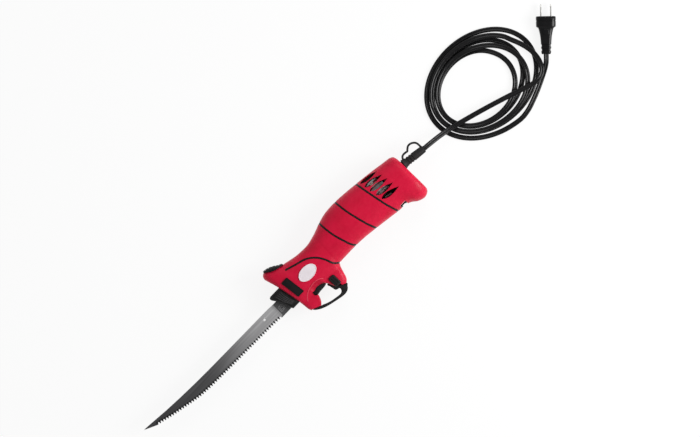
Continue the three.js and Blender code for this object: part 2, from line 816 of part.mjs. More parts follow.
function housingSolid() {
  const deepInside = bodySolid(-WALL / 2, false, INNER_SIDE_POINTS, INNER_SPACING);
  let body = outerBody.subtract(cavitySolid());

  for (const [x, y] of SCREWS) {
    body = body.add(pinAlongZ(x, y, BOSS_RADIUS, -FAR, FAR, 6).intersect(deepInside));
  }
  const motorSeat = pinAlongX(MOTOR_Y, 0, CAN_RADIUS + MOTOR_SEAT_GAP, CAN.x0, CAN.x1, 20);
  const bearingSeat = pinAlongX(MOTOR_Y, 0, BEARING.radius + BEARING_SEAT_GAP, SHAFT.x0, GEAR_X, 14);
  for (const side of [-1, 1]) {
    const postSpan = sideSpan(side, SWITCH_POST.z0, SWITCH_POST.z1);
    const supports = [
      pinAlongZ(GEAR_X, GEAR_Y, GEAR_POST.radius, ...sideSpan(side, GEAR_POST.z0, GEAR_POST.z1), 10),
      pinAlongZ(SWITCH_POST.x, SWITCH_POST.y, SWITCH_POST.radius, ...postSpan, 8),
      ...MOTOR_RIBS.map((rib) => ribSolid(side, rib).subtract(motorSeat)),
      ribSolid(side, BEARING_RIB).subtract(bearingSeat),
      ribSolid(side, GUIDE_RIB),
    ];
    for (const support of supports) {
      body = body.add(support);
    }
  }

  const below = [...BELOW_START, ...FINGER_WALL.map(([x, y]) => [x, y]).slice(1), ...BELOW_END];
  const pocketHalf = TRIGGER_HALF_WIDTH + TRIGGER_POCKET_GAP;
  const cuts = [
    prism(below, -FAR, FAR),
    fingerRim(1),
    fingerRim(-1),
    prism(TRIGGER_POCKET, -pocketHalf, pocketHalf),
    prism(TRIGGER_RECESS, -FAR, FAR),
    pinAlongZ(TRIGGER_PIVOT.x, TRIGGER_PIVOT.y, TRIGGER_PIVOT.radius + GAP, -PIN_HOLE_HALF, PIN_HOLE_HALF),
    prism([...THUMB_LINE, ...THUMB_TOP], -FAR, FAR),
    frontPocket(COLLAR_POCKET),
    frontPocket(TANG_POCKET),
    prism(lockOutline(GAP), LOCK_POCKET_FLOOR, FAR),
    box(LOCK_MOUTH.x0, LOCK_MOUTH.x1, -FAR, LOCK_MOUTH.y1, LOCK_POCKET_FLOOR, FAR),
    box(NOTCH.x0, NOTCH.x1, -FAR, NOTCH.top, -FAR, FAR),
    pinAlongZ(GEAR_X, GEAR_Y, AXLE_RADIUS + GAP, -AXLE_HOLE_HALF, AXLE_HOLE_HALF),
  ];
  for (const vent of VENTS) {
    cuts.push(prism(leaf(vent), VENT_START_Z, FAR), prism(leaf(vent), -FAR, -VENT_START_Z));
  }
  for (const line of Object.values(BAND_LINES)) {
    cuts.push(ribbon(line, GROOVE_WIDTH, BAND_STEPS, -FAR, FAR).subtract(grooveFloor));
  }
  cuts.push(ribbon(ACCENT_LINE, GROOVE_WIDTH, ACCENT_LINE.length - 1, -FAR, FAR).subtract(grooveFloor));
  for (const [x, y, tip] of SCREWS) {
    cuts.push(pinAlongZ(x, y, SCREW_HOLE_RADIUS, -FAR, tip + GAP, 6));
    cuts.push(pinAlongZ(x, y, SCREW_HEAD_HOLE_RADIUS, -FAR, SCREW_HEAD_FLOOR, 8));
  }
  cuts.push(reliefNeck(GAP));
  for (const cut of cuts) {
    body = body.subtract(cut);
  }
  return body;
}

// Strain relief: profile along its own axis, which leaves the butt at a slight angle
const RELIEF_START = { x: 207, y: 18.4 };
const RELIEF_ANGLE = (-8 * Math.PI) / 180;
const RELIEF_PROFILE = [
  [-8.4, 7.0],
  [-5.4, 7.0],
  [-5.2, 5.2],
  [0.7, 5.2],
  [0.9, 6.6],
  [4.2, 5.4],
  [6.5, 5.4],
  [7.1, 4.7],
  [8.3, 4.7],
  [8.9, 5.4],
  [10.3, 5.4],
  [10.9, 4.7],
  [12.1, 4.7],
  [12.7, 5.4],
  [14.1, 5.4],
  [14.7, 4.7],
  [15.9, 4.7],
  [16.5, 5.4],
  [32.2, 4.9],
  [33.6, 4.3],
];
const HANG_LOOP = [
  [211.0, 19.0],
  [211.9, 23.0],
  [213.9, 26.0],
  [217.0, 27.2],
  [220.5, 26.9],
  [223.2, 26.5],
  [225.2, 28.2],
  [228.6, 30.4],
  [232.4, 30.4],
  [236.0, 28.6],
  [238.5, 25.6],
  [239.2, 21.0],
  [239.0, 15.0],
];
const HANG_LOOP_RADIUS = 1.35;
const RELIEF_NECK = { from: -14, to: 8, radius: 5.2 };

function alongRelief(distance) {
  return new THREE.Vector3(
    RELIEF_START.x + distance * Math.cos(RELIEF_ANGLE),
    RELIEF_START.y + distance * Math.sin(RELIEF_ANGLE),
    0,
  );
}

function reliefRing(distance, radius, sides = 9) {
  const centre = alongRelief(distance);
  const side = new THREE.Vector3(-Math.sin(RELIEF_ANGLE), Math.cos(RELIEF_ANGLE), 0);
  const ring = [];
  for (let i = 0; i < sides; i += 1) {
    const angle = (2 * Math.PI * i) / sides;
    const point = centre.clone().addScaledVector(side, radius * Math.cos(angle));
    point.z += radius * Math.sin(angle);
    ring.push(point);
  }
  return ring;
}

function reliefNeck(gap) {
  const radius = RELIEF_NECK.radius + gap;
  return loft([reliefRing(RELIEF_NECK.from, radius, 12), reliefRing(RELIEF_NECK.to, radius, 12)]);
}

function circleShape(radius, sides) {
  const shape = [];
  for (let i = 0; i < sides; i += 1) {
    const angle = (2 * Math.PI * i) / sides;
    shape.push([radius * Math.cos(angle), radius * Math.sin(angle)]);
  }
  return planShape(shape);
}

// A round tube through points
function tube(points, radius, sides, steps) {
  const curve = new THREE.CatmullRomCurve3(points);
  const geometry = new THREE.ExtrudeGeometry(circleShape(radius, sides), {
    steps,
    bevelEnabled: false,
    extrudePath: curve,
  });
  return solidOf(geometry);
}

function strainReliefSolid() {
  const body = loft(RELIEF_PROFILE.map(([distance, radius]) => reliefRing(distance, radius)));
  const loop = tube(
    HANG_LOOP.map(([x, y]) => new THREE.Vector3(x, y, 0)),
    HANG_LOOP_RADIUS,
    6,
    20,
  );
  return body.add(loop);
}

// Blades

const TOOTH_TIPS = [
  [-39.0, -5.7],
  [-60.0, -4.9],
  [-90.0, -4.4],
  [-125.0, -3.8],
  [-150.0, -3.2],
  [-175.0, -2.0],
  [-190.0, 0.0],
  [-205.0, 3.1],
  [-220.0, 6.2],
  [-233.0, 9.5],
  [-246.0, 13.1],
];
const BLADE_TIP = [
  [-252.5, 16.2],
  [-258.0, 18.8],
  [-262.5, 21.2],
];
const BLADE_SPINE = [
  [-256.0, 20.9],
  [-245.0, 19.9],
  [-225.0, 17.8],
  [-200.0, 16.2],
  [-175.0, 15.2],
  [-150.0, 14.7],
  [-120.0, 14.5],
  [-60.0, 14.3],
  [-40.0, 14.1],
  [-13.0, 14.0],
];
const BLADE_TANG = [
  [-13.0, 9.5],
  [10.0, 9.5],
  [10.0, 0.5],
  [-13.0, 0.5],
  [-13.0, -5.8],
  [-38.2, -5.8],
];

function bladeOutline() {
  const edge = smoothCurve(TOOTH_TIPS.map(([x, y]) => new THREE.Vector3(x, y, 0)));
  const outline = [];
  for (let i = 0; i < TOOTH_COUNT; i += 1) {
    for (const [share, depth] of [
      [0.28, 0],
      [0.78, 1],
    ]) {
      const u = (i + share) / TOOTH_COUNT;
      const point = edge.getPointAt(u);
      const along = edge.getTangentAt(u);
      const rise = depth * TOOTH_DEPTH;
      outline.push([point.x + along.y * rise, point.y - along.x * rise]);
    }
  }
  return [...outline, ...BLADE_TIP, ...BLADE_SPINE, ...BLADE_TANG];
}

function bladeSolid(side) {
  const low = side > 0 ? BLADE_INNER_Z : -BLADE_OUTER_Z;
  const plate = prism(bladeOutline(), low, low + BLADE_OUTER_Z - BLADE_INNER_Z);
  if (side > 0) {
    return plate.subtract(pinAlongZ(RIVET.x, RIVET.y, RIVET.radius + GAP, -FAR, FAR, 12));
  }
  const width = RIVET.radius + GAP;
  const reach = RIVET_SLOT_HALF + width;
  const lowY = RIVET.y - width;
  const slot = roundedRectangle(RIVET.x - reach, RIVET.x + reach, lowY, RIVET.y + width, width - 0.01, 3);
  return plate.subtract(prism(slot, -FAR, FAR));
}

const SHOULDER_OUTLINE = [
  [-38.4, -5.7],
  [-35.4, -4.0],
  [-35.0, 13.8],
  [-7.0, 13.8],
  [-7.0, -5.7],
];

function shoulderSolid(side) {
  const low = BLADE_OUTER_Z + GAP;
  return prism(SHOULDER_OUTLINE, ...sideSpan(side, low, SHOULDER_TOP_Z));
}

function rivetSolid() {
  const profile = [
    [-2.0, 0],
    [-1.9, 1.9],
    [-1.35, 2.1],
    [-1.3, RIVET.radius],
    [1.3, RIVET.radius],
    [1.35, 1.7],
    [1.8, 1.4],
    [2.0, 0],
  ];
  return turnedAlongZ(profile, RIVET.x, RIVET.y, 12);
}

// Blade collar and its release buttons

const COLLAR_OUTLINE = [
  [-6.5, 23.3],
  [-29.5, 23.3],
  [-31.7, 22.3],
  [-32.4, 20.6],
  [-31.9, 18.6],
  [-30.4, 16.2],
  [-27.4, 11.4],
  [-25.0, 7.0],
  [-23.0, 1.0],
  [-21.5, -4.6],
  [-20.0, -8.1],
  [-6.5, -8.1],
];
const BUTTON_OUTLINE = [
  [-14.8, 20.2],
  [-28.6, 20.2],
  [-27.9, 17.4],
  [-25.2, 12.2],
  [-22.8, 7.6],
  [-20.9, 1.6],
  [-19.0, -4.9],
  [-11.8, -4.9],
  [-12.6, 6.0],
];
const BUTTON_RIDGES = [
  [-25.6, 18.4, -17.6, -3.6],
  [-22.9, 18.4, -16.0, -3.6],
  [-20.2, 18.4, -14.5, -3.6],
  [-17.5, 18.4, -13.0, -3.6],
];

function grown(outline, amount) {
  const count = outline.length;
  const middle = outline.reduce((sum, [x, y]) => [sum[0] + x / count, sum[1] + y / count], [0, 0]);
  return outline.map(([x, y]) => {
    const reach = Math.hypot(x - middle[0], y - middle[1]);
    const scale = 1 + amount / reach;
    return [middle[0] + (x - middle[0]) * scale, middle[1] + (y - middle[1]) * scale];
  });
}

function collarSolid() {
  const body = bevelledPrism(COLLAR_OUTLINE, -COLLAR_HALF, COLLAR_HALF, COLLAR_BEVEL);
  const pocket = grown(BUTTON_OUTLINE, BUTTON_POCKET_GAP);
  return body
    .subtract(box(-FAR, 0, BLADE_SLOT.y0, BLADE_SLOT.y1, -BLADE_SLOT.half, BLADE_SLOT.half))
    .subtract(prism(pocket, BUTTON_POCKET_FLOOR, FAR))
    .subtract(prism(pocket, -FAR, -BUTTON_POCKET_FLOOR));
}

function releaseButtonSolid(side) {
  const plate = [prism(BUTTON_OUTLINE, BUTTON_BASE_Z, BUTTON_TOP_Z)];
  for (const [x0, y0, x1, y1] of BUTTON_RIDGES) {
    const ridge = [
      [x0, y0],
      [(x0 + x1) / 2 - RIDGE_BOW, (y0 + y1) / 2],
      [x1, y1],
      [x1 + RIDGE_WIDTH, y1],
      [(x0 + x1) / 2 - RIDGE_BOW + RIDGE_WIDTH, (y0 + y1) / 2],
      [x0 + RIDGE_WIDTH, y0],
    ];
    plate.push(prism(ridge, RIDGE_BASE_Z, RIDGE_TOP_Z));
  }
  const button = unite(plate);
  return side > 0 ? button : mirrored(button);
}

// Drive train

function wormSolid() {
  const centre = GEAR_X;
  const half = (WORM_TURNS * AXIAL_PITCH) / 2;
  const reach = half + WORM_SHOULDER;
  const core = pinAlongX(MOTOR_Y, 0, WORM_ROOT, centre - reach, centre + reach, WORM_STEPS);
  const rings = [];
  const steps = WORM_TURNS * WORM_STEPS;
  for (let i = 0; i <= steps; i += 1) {
    const turns = i / WORM_STEPS;
    const angle = 2 * Math.PI * turns + Math.PI;
    const x = centre - half + AXIAL_PITCH * turns;
    const ring = [
      [-1.0, WORM_ROOT - WORM_SINK],
      [-0.28, WORM_OUTER],
      [0.28, WORM_OUTER],
      [1.0, WORM_ROOT - WORM_SINK],
    ].map(
      ([along, radius]) =>
        new THREE.Vector3(x + along, MOTOR_Y + radius * Math.cos(angle), radius * Math.sin(angle)),
    );
    rings.push(ring);
  }
  const bore = pinAlongX(MOTOR_Y, 0, SHAFT_RADIUS + GAP, centre - FAR, centre + FAR, WORM_STEPS);
  return core.add(loft(rings)).subtract(bore);
}

function gearOutline(z) {
  const twist = ((AXIAL_PITCH / (2 * Math.PI) / WORM_PITCH_RADIUS) * z) / GEAR_PITCH_RADIUS;
  const ring = [];
  const step = (2 * Math.PI) / GEAR_TEETH;
  for (let i = 0; i < GEAR_TEETH; i += 1) {
    for (const [share, radius] of [
      [-0.31, GEAR_ROOT],
      [-0.1, GEAR_OUTER],
      [0.1, GEAR_OUTER],
      [0.31, GEAR_ROOT],
    ]) {
      const angle = Math.PI / 2 + step * (i + share) + twist;
      ring.push(new THREE.Vector3(GEAR_X + radius * Math.cos(angle), GEAR_Y + radius * Math.sin(angle), z));
    }
  }
  return ring;
}

function wormGearSolid() {
  const teeth = loft([gearOutline(-GEAR_HALF_WIDTH), gearOutline(GEAR_HALF_WIDTH)]);
  const near = GEAR_HALF_WIDTH - 1;
  const far = ARM_INNER_Z - GAP;
  const upper = pinAlongZ(GEAR_X, GEAR_Y + STROKE, ECCENTRIC_RADIUS, near, far, 16);
  const lower = pinAlongZ(GEAR_X, GEAR_Y - STROKE, ECCENTRIC_RADIUS, -far, -near, 16);
  const bore = pinAlongZ(GEAR_X, GEAR_Y, AXLE_RADIUS + GAP, -FAR, FAR, 10);
  return unite([teeth, upper, lower]).subtract(bore);
}

function driveArmSolid(side) {
  const windowHalfX = ECCENTRIC_RADIUS + GAP;
  const windowHalfY = ECCENTRIC_RADIUS + STROKE + GAP;
  const yoke = box(
    GEAR_X - windowHalfX - YOKE_WALL_X,
    GEAR_X + windowHalfX + YOKE_WALL_X,
    GEAR_Y - windowHalfY - YOKE_WALL_Y,
    GEAR_Y + windowHalfY + YOKE_WALL_Y,
    ARM_INNER_Z,
    ARM_OUTER_Z,
  ).subtract(
    box(
      GEAR_X - windowHalfX,
      GEAR_X + windowHalfX,
      GEAR_Y - windowHalfY,
      GEAR_Y + windowHalfY,
      0,
      FAR,
    ),
  );
  const shank = box(SHANK.x0, GEAR_X - windowHalfX - 1, SHANK.y0, SHANK.y1, ARM_INNER_Z, ARM_OUTER_Z);
  const socket = box(SOCKET.x0, SOCKET.x1, SOCKET.y0, SOCKET.y1, BLADE_OUTER_Z + GAP, ARM_OUTER_Z);
  const arm = unite([yoke, shank, socket]);
  return side > 0 ? arm : mirrored(arm);
}

function magnetSolid(side) {
  const outline = [];
  const { inner, spread, steps } = MAGNET;
  const outer = CAN_RADIUS - CAN_WALL - GAP;
  for (let i = 0; i <= steps; i += 1) {
    const angle = -spread + (2 * spread * i) / steps;
    outline.push([outer * Math.cos(angle), outer * Math.sin(angle)]);
  }
  for (let i = steps; i >= 0; i -= 1) {
    const angle = -spread + (2 * spread * i) / steps;
    outline.push([inner * Math.cos(angle), inner * Math.sin(angle)]);
  }
  const depth = MAGNET.length;
  const geometry = new THREE.ExtrudeGeometry(planShape(outline), { depth, bevelEnabled: false });
  geometry.rotateY(Math.PI / 2);
  geometry.rotateX(side > 0 ? Math.PI : 0);
  geometry.translate(MAGNET.x0, MOTOR_Y, 0);
  return solidOf(geometry);
}

function rotorSolid() {
  const outline = [];
  for (let i = 0; i < ROTOR.poles; i += 1) {
    const base = (2 * Math.PI * i) / ROTOR.poles;
    for (const [turn, radius] of [
      [-0.54, 11.5],
      [-0.27, 11.7],
      [0, 11.7],
      [0.27, 11.7],
      [0.54, 11.5],
      [0.5, 9.6],
      [0.36, 8.8],
      [0.5, 6.0],
      [0.757, 6.0],
      [0.897, 8.8],
      [0.757, 9.6],
    ]) {
      outline.push([radius * Math.cos(base + turn), radius * Math.sin(base + turn)]);
    }
  }
  const depth = ROTOR.length;
  const geometry = new THREE.ExtrudeGeometry(planShape(outline), { depth, bevelEnabled: false });
  geometry.rotateY(Math.PI / 2);
  geometry.translate(ROTOR.x0, MOTOR_Y, 0);
  return solidOf(geometry).subtract(pinAlongX(MOTOR_Y, 0, SHAFT_RADIUS + GAP, SHAFT.x0, SHAFT.x1, 12));
}

function fanSolid() {
  const parts = [
    pinAlongX(MOTOR_Y, 0, FAN.hub, FAN.x0, FAN.x1, 12),
    pinAlongX(MOTOR_Y, 0, FAN.disc, FAN.discStart, FAN.x1, 18),
  ];
  for (let i = 0; i < FAN.blades; i += 1) {
    const geometry = new THREE.BoxGeometry(FAN_BLADE.length, FAN_BLADE.height, FAN_BLADE.thickness);
    geometry.translate(FAN_BLADE.x, FAN_BLADE.radius, 0);
    geometry.rotateX((2 * Math.PI * i) / FAN.blades);
    geometry.translate(0, MOTOR_Y, 0);
    parts.push(solidOf(geometry));
  }
  const bore = pinAlongX(MOTOR_Y, 0, SHAFT_RADIUS + FAN.clearance, SHAFT.x0, SHAFT.x1 + FAR, 10);
  return unite(parts).subtract(bore);
}

function ringAlongX({ x0, x1 }, outer, inner, sides = 20) {
  const bore = pinAlongX(MOTOR_Y, 0, inner, x0 - FAR, x1 + FAR, sides);
  return pinAlongX(MOTOR_Y, 0, outer, x0, x1, sides).subtract(bore);
}

// Switch gear

// A wire spring along y or z, with its curls as one tube
const CURL_STEPS = 7;
const WIRE_SIDES = 4;

function springSolid({ x, y, z = 0, length, radius, wire, curls }, axis) {
  const start = new THREE.Vector3(x, y, z);
  const rings = [];
  const steps = curls * CURL_STEPS;
  const side = new THREE.Vector3(1, 0, 0);
  const along = axis === "y" ? new THREE.Vector3(0, 1, 0) : new THREE.Vector3(0, 0, 1);
  const other = new THREE.Vector3().crossVectors(along, side);
  for (let i = 0; i <= steps; i += 1) {
    const angle = (2 * Math.PI * i) / CURL_STEPS;
    const outwards = side.clone().multiplyScalar(Math.cos(angle)).addScaledVector(other, Math.sin(angle));
    const centre = start.clone().addScaledVector(outwards, radius);
    centre.addScaledVector(along, wire + ((length - 2 * wire) * i) / steps);
    const ring = [];
    for (let k = 0; k < WIRE_SIDES; k += 1) {
      const turn = (2 * Math.PI * k) / WIRE_SIDES;
      const point = centre.clone().addScaledVector(outwards, wire * Math.cos(turn));
      point.addScaledVector(along, wire * Math.sin(turn));
      ring.push(point);
    }
    rings.push(ring);
  }
  return loft(rings);
}

function triggerSolid() {
  const lever = prism(TRIGGER_OUTLINE, -TRIGGER_HALF_WIDTH, TRIGGER_HALF_WIDTH);
  return lever.subtract(
    pinAlongZ(TRIGGER_PIVOT.x, TRIGGER_PIVOT.y, TRIGGER_PIVOT.radius + GAP, -FAR, FAR, 16),
  );
}

function switchSolid() {
  const body = box(SWITCH.x0, SWITCH.x1, SWITCH.y0, SWITCH.y1, -SWITCH.half, SWITCH.half);
  return body.subtract(pinAlongY(PLUNGER.x, 0, PLUNGER_BORE.radius, PLUNGER.y0, PLUNGER_BORE.top, 12));
}

function boardSolid() {
  const { x0, x1, y0, y1, half } = BOARD_PLATE;
  const parts = [box(x0, x1, y0, y1, -half, half)];
  for (const z of RECTIFIER.heights) {
    const low = z - RECTIFIER.half;
    const high = z + RECTIFIER.half;
    parts.push(box(RECTIFIER.x0, RECTIFIER.x1, RECTIFIER.y0, RECTIFIER.y1, low, high));
  }
  parts.push(pinAlongX(CAPACITOR.y, 0, CAPACITOR.radius, CAPACITOR.x0, CAPACITOR.x1, 14));
  return unite(parts);
}

const SUPPLY_ROUTE = [
  [196.4, 15.0, 3.8],
  [194.5, 7.0, 6.0],
  [188.0, -3.0, 9.0],
  [176.0, -6.5, 10.0],
  [150.0, -6.0, 11.0],
  [124.0, -4.0, 11.8],
  [108.0, -2.0, 12.0],
  [92.0, -0.9, 10.3],
  [76.0, -1.2, 10.4],
  [62.0, -2.4, 10.2],
  [52.0, -3.4, 9.8],
  [46.0, -3.6, 8.6],
  [42.0, -3.0, 5.6],
  [39.4, -1.0, 2.8],
  [37.6, 1.8, 2.0],
];

function leadSolid(side) {
  const points = SUPPLY_ROUTE.map(([x, y, z]) => new THREE.Vector3(x, y, side * z));
  return tube(side > 0 ? points : points.slice(MOTOR_LEAD_START), LEAD_RADIUS, 5, side > 0 ? 26 : 16);
}

// Screws: head in the right half, thread in the left half's boss
function screwSolid([x, y, tip]) {
  const seat = SCREW_HEAD_FLOOR - GAP;
  const profile = [
    [seat - SCREW_HEAD_HEIGHT, 0],
    [seat - SCREW_HEAD_HEIGHT, 0.73 * SCREW_HEAD_RADIUS],
    [seat - 0.75 * SCREW_HEAD_HEIGHT, 0.97 * SCREW_HEAD_RADIUS],
    [seat, SCREW_HEAD_RADIUS],
    [seat, SCREW_SHANK_RADIUS],
    [tip - SCREW_POINT, SCREW_SHANK_RADIUS],
    [tip, 0],
  ];
  return turnedAlongZ(profile, x, y, 8);
}

// Cord

// Lead from the strain relief over the coil, then round its right side: x, y and height above the ground
const LEAD_ROUTE = [
  [241.0, 13.63, 22.6],
  [250.0, 12.6, 20.6],
  [265.0, 10.6, 15.6],
  [282.0, 7.2, 11.4],
  [302.0, 1.8, 10.4],
  [330.0, -6.5, 10.3],
  [358.0, -15.6, 10.4],
  [382.0, -24.0, 10.4],
  [398.0, -29.0, 10.3],
  [408.5, -29.0, 10.1],
  [417.0, -24.3, 9.6],
  [422.5, -15.0, 8.9],
  [424.8, -4.0, 8.0],
  [424.3, 7.0, 7.1],
  [421.6, 18.5, 6.4],
  [417.3, 30.0, 6.05],
];
// Tail from the outermost loop to the plug
const TAIL_ROUTE = [
  [368.2, -47.6, 1.85],
  [383.0, -43.0, 1.85],
  [396.3, -37.9, 1.9],
  [408.9, -32.2, 2.2],
  [419.5, -27.0, 4.4],
  [426.5, -22.6, 6.6],
  [430.8, -18.75, 8.3],
  [434.2, -15.4, 8.6],
];

function smoothstep(low, high, value) {
  const share = Math.min(1, Math.max(0, (value - low) / (high - low)));
  return share * share * (3 - 2 * share);
}

// The coil's middle and half sizes at its tightest, and how far each one grows and leans over outwards
const COIL = { x: 342.85, y: 20.55, halfX: 50.15, halfY: 41.05 };
const COIL_GROWTH = { x: 13.25, y: -3.5, halfX: 30.75, halfY: 21.9, lean: -5 };
// Spread of the first and the second turn, and the turns between which the spiral draws in, closes up and
// steps down
const FIRST_SPREAD = 0.62;
const SECOND_SPREAD = 0.19;
const DRAW_IN = [0.65, 1.1];
const CLOSE_UP = [1.65, 2.0];
const STEP_DOWN = [1.65, 2.05];
const LOWER_TURNS = 2.34;

// Centre of the cord at a number of turns from the lead: two turns inwards on the upper layer, a step down
// where the spiral reverses, then outwards on the ground
function coilPoint(turns) {
  const angle = COIL_START_ANGLE + 2 * Math.PI * turns;
  const drawnIn = (SECOND_SPREAD - FIRST_SPREAD) * smoothstep(...DRAW_IN, turns);
  const upper = FIRST_SPREAD + drawnIn - SECOND_SPREAD * smoothstep(...CLOSE_UP, turns);
  const spread = turns < COIL_REVERSAL ? upper : (turns - COIL_REVERSAL) / LOWER_TURNS;
  const halfX = COIL.halfX + COIL_GROWTH.halfX * spread;
  const halfY = COIL.halfY + COIL_GROWTH.halfY * spread;
  const lean = COIL_GROWTH.lean * spread * Math.sin(angle);
  const x = COIL.x + COIL_GROWTH.x * spread + halfX * Math.cos(angle) + lean;
  const y = COIL.y + COIL_GROWTH.y * spread + halfY * Math.sin(angle);
  const rest = FLOOR_CLEARANCE + CORD_HEIGHT / 2;
  const z = rest + LAYER_STEP * (1 - smoothstep(...STEP_DOWN, turns));
  return new THREE.Vector3(x, y, FLOOR_Z + z);
}

function coilPoints() {
  const count = Math.round(COIL_TURNS * LOOP_STEPS);
  const points = [];
  for (let i = 0; i <= count; i += 1) {
    points.push(coilPoint((COIL_TURNS * i) / count));
  }
  return points;
}

function routePoints(route) {
  return route.map(([x, y, z]) => new THREE.Vector3(x, y, FLOOR_Z + z));
}

// Section of the flat cord: half width, and half height where the flats end
function cordSection(sides) {
  const half = CORD_WIDTH / 2;
  const flat = half - CORD_HEIGHT / 2;
  const section = [];
  for (let i = 0; i < sides; i += 1) {
    const angle = (2 * Math.PI * i) / sides;
    const c = Math.cos(angle);
    const reach = Math.abs(c) < 1e-6 ? 0 : Math.sign(c) * flat;
    section.push([reach + (CORD_HEIGHT / 2) * c, (CORD_HEIGHT / 2) * Math.sin(angle)]);
  }
  return section;
}

// The flat cord swept along centres, with its flat side kept level
function cordRings(centres, section) {
  return centres.map((centre, i) => {
    const before = centres[Math.max(0, i - 1)];
    const after = centres[Math.min(centres.length - 1, i + 1)];
    const along = new THREE.Vector3().subVectors(after, before).normalize();
    const side = new THREE.Vector3(-along.y, along.x, 0).normalize();
    const up = new THREE.Vector3().crossVectors(along, side);
    return section.map(([across, height]) =>
      centre.clone().addScaledVector(side, across).addScaledVector(up, height),
    );
  });
}

// One smooth line through the lead, the coil and the tail, cut into its three pieces
function cordPieces() {
  const lead = routePoints(LEAD_ROUTE);
  const coil = coilPoints();
  const tail = routePoints(TAIL_ROUTE);
  const all = [...lead, ...coil, ...tail];
  const curve = smoothCurve(all);
  const last = all.length - 1;
  const at = (knot) => curve.getPoint(knot / last);
  const joinA = lead.length;
  const joinB = lead.length + coil.length - 1;
  const span = (from, to, perKnot) => {
    const centres = [];
    const count = Math.round((to - from) * perKnot);
    for (let i = 0; i <= count; i += 1) {
      centres.push(at(from + ((to - from) * i) / count));
    }
    return centres;
  };
  const pieces = {
    cord_lead: span(0, joinA, 1.5),
    cord_coil: span(joinA, joinB, 1),
    cord_tail: span(joinB, last, 2),
  };
  pullBack(pieces.cord_lead, false);
  pullBack(pieces.cord_coil, true);
  pullBack(pieces.cord_coil, false);
  pullBack(pieces.cord_tail, true);
  return pieces;
}

// Leaves part of the gap between two pieces at one end of a line of centres
function pullBack(centres, first) {
  const end = first ? 0 : centres.length - 1;
  const next = first ? 1 : centres.length - 2;
  const inwards = new THREE.Vector3().subVectors(centres[next], centres[end]).normalize();
  centres[end].addScaledVector(inwards, END_PULL);
}

// How far apart along the cord, and how close in space, two places are compared
const APART_LEAST = 40;
const NEAR_MOST = 14;
const END_PULL = 0.55;

// Least distance between parts of the cord that are more than a few steps apart, on points of its surface
function leastGap(pieces) {
  const section = cordSection(16);
  const centres = [];
  const rings = [];
  for (const name of ["cord_lead", "cord_coil", "cord_tail"]) {
    const dense = [];
    for (let i = 0; i + 1 < pieces[name].length; i += 1) {
      dense.push(pieces[name][i], pieces[name][i].clone().lerp(pieces[name][i + 1], 0.5));
    }
    centres.push(...dense);
    rings.push(...cordRings(dense, section));
  }
  const travelled = [0];
  for (let i = 1; i < centres.length; i += 1) {
    travelled.push(travelled[i - 1] + centres[i].distanceTo(centres[i - 1]));
  }
  let least = Infinity;
  for (let i = 0; i < centres.length; i += 1) {
    for (let j = i + 1; j < centres.length; j += 1) {
      const apart = travelled[j] - travelled[i];
      if (apart > APART_LEAST && centres[i].distanceTo(centres[j]) < NEAR_MOST) {
        for (const a of rings[i]) {
          for (const b of rings[j]) {
            least = Math.min(least, a.distanceTo(b));
          }
        }
      }
    }
  }
  return { least, length: travelled[travelled.length - 1] };
}

// Plug

function plugPoint(along, across, height) {
  const c = Math.cos(PLUG_ANGLE);
  const s = Math.sin(PLUG_ANGLE);
  return new THREE.Vector3(
    PLUG_START.x + along * c - across * s,
    PLUG_START.y + along * s + across * c,
    FLOOR_Z + PLUG_HEIGHT + height,
  );
}

function plugRing(along, halfWidth, halfHeight, sides = 12) {
  const ring = [];
  for (let i = 0; i < sides; i += 1) {
    const angle = (2 * Math.PI * (i + 0.5)) / sides;
    const c = Math.cos(angle);
    const s = Math.sin(angle);
    const across = Math.sign(c) * Math.abs(c) ** 0.5 * halfWidth;
    const height = Math.sign(s) * Math.abs(s) ** 0.5 * halfHeight;
    ring.push(plugPoint(along, across, height));
  }
  return ring;
}

// Distance along the plug, half width and half height
const PLUG_PROFILE = [
  [0.0, 5.2, 3.8],
  [1.0, 6.0, 4.3],
  [4.0, 6.3, 4.5],
  [4.6, 5.6, 3.9],
  [6.6, 5.6, 3.9],
  [7.2, 6.4, 4.7],
  [9.4, 6.5, 4.9],
  [10.0, 5.8, 4.1],
  [12.0, 5.9, 4.2],
  [12.6, 6.6, 5.0],
  [17.0, 6.9, 5.4],
  [23.0, 7.5, 6.2],
  [33.6, 9.8, 7.2],
  [35.0, 12.6, 8.4],
  [46.6, 12.7, 8.5],
  [48.0, 11.9, 7.8],
];

function plugBlock(along0, along1, across0, across1, halfHeight) {
  const corners = (along) => [
    plugPoint(along, across0, -halfHeight),
    plugPoint(along, across1, -halfHeight),
    plugPoint(along, across1, halfHeight),
    plugPoint(along, across0, halfHeight),
  ];
  return loft([corners(along0), corners(along1)]);
}

function plugSolid() {
  const rings = PLUG_PROFILE.map(([along, halfWidth, halfHeight]) => plugRing(along, halfWidth, halfHeight));
  let body = loft(rings);
  for (const side of [-1, 1]) {
    const middle = (side * PRONG_SPACING) / 2;
    const half = PRONG_THICKNESS / 2 + GAP;
    body = body.subtract(
      plugBlock(
        PLUG_LENGTH - PRONG_SEAT - GAP,
        PLUG_LENGTH + PRONG_SEAT,
        middle - half,
        middle + half,
        PRONG_HALF_HEIGHT[side] + GAP,
      ),
    );
  }
  return body;
}

const PRONG_HALF_HEIGHT = { [-1]: 3.95, [1]: 3.15 };

function prongSolid(side) {
  const middle = (side * PRONG_SPACING) / 2;
  const half = PRONG_THICKNESS / 2;
  return plugBlock(
    PLUG_LENGTH - PRONG_SEAT,
    PLUG_LENGTH + PRONG_LENGTH,
    middle - half,
    middle + half,
    PRONG_HALF_HEIGHT[side],
  );
}

// Assembly

const knife = new THREE.Group();
const cord = new THREE.Group();

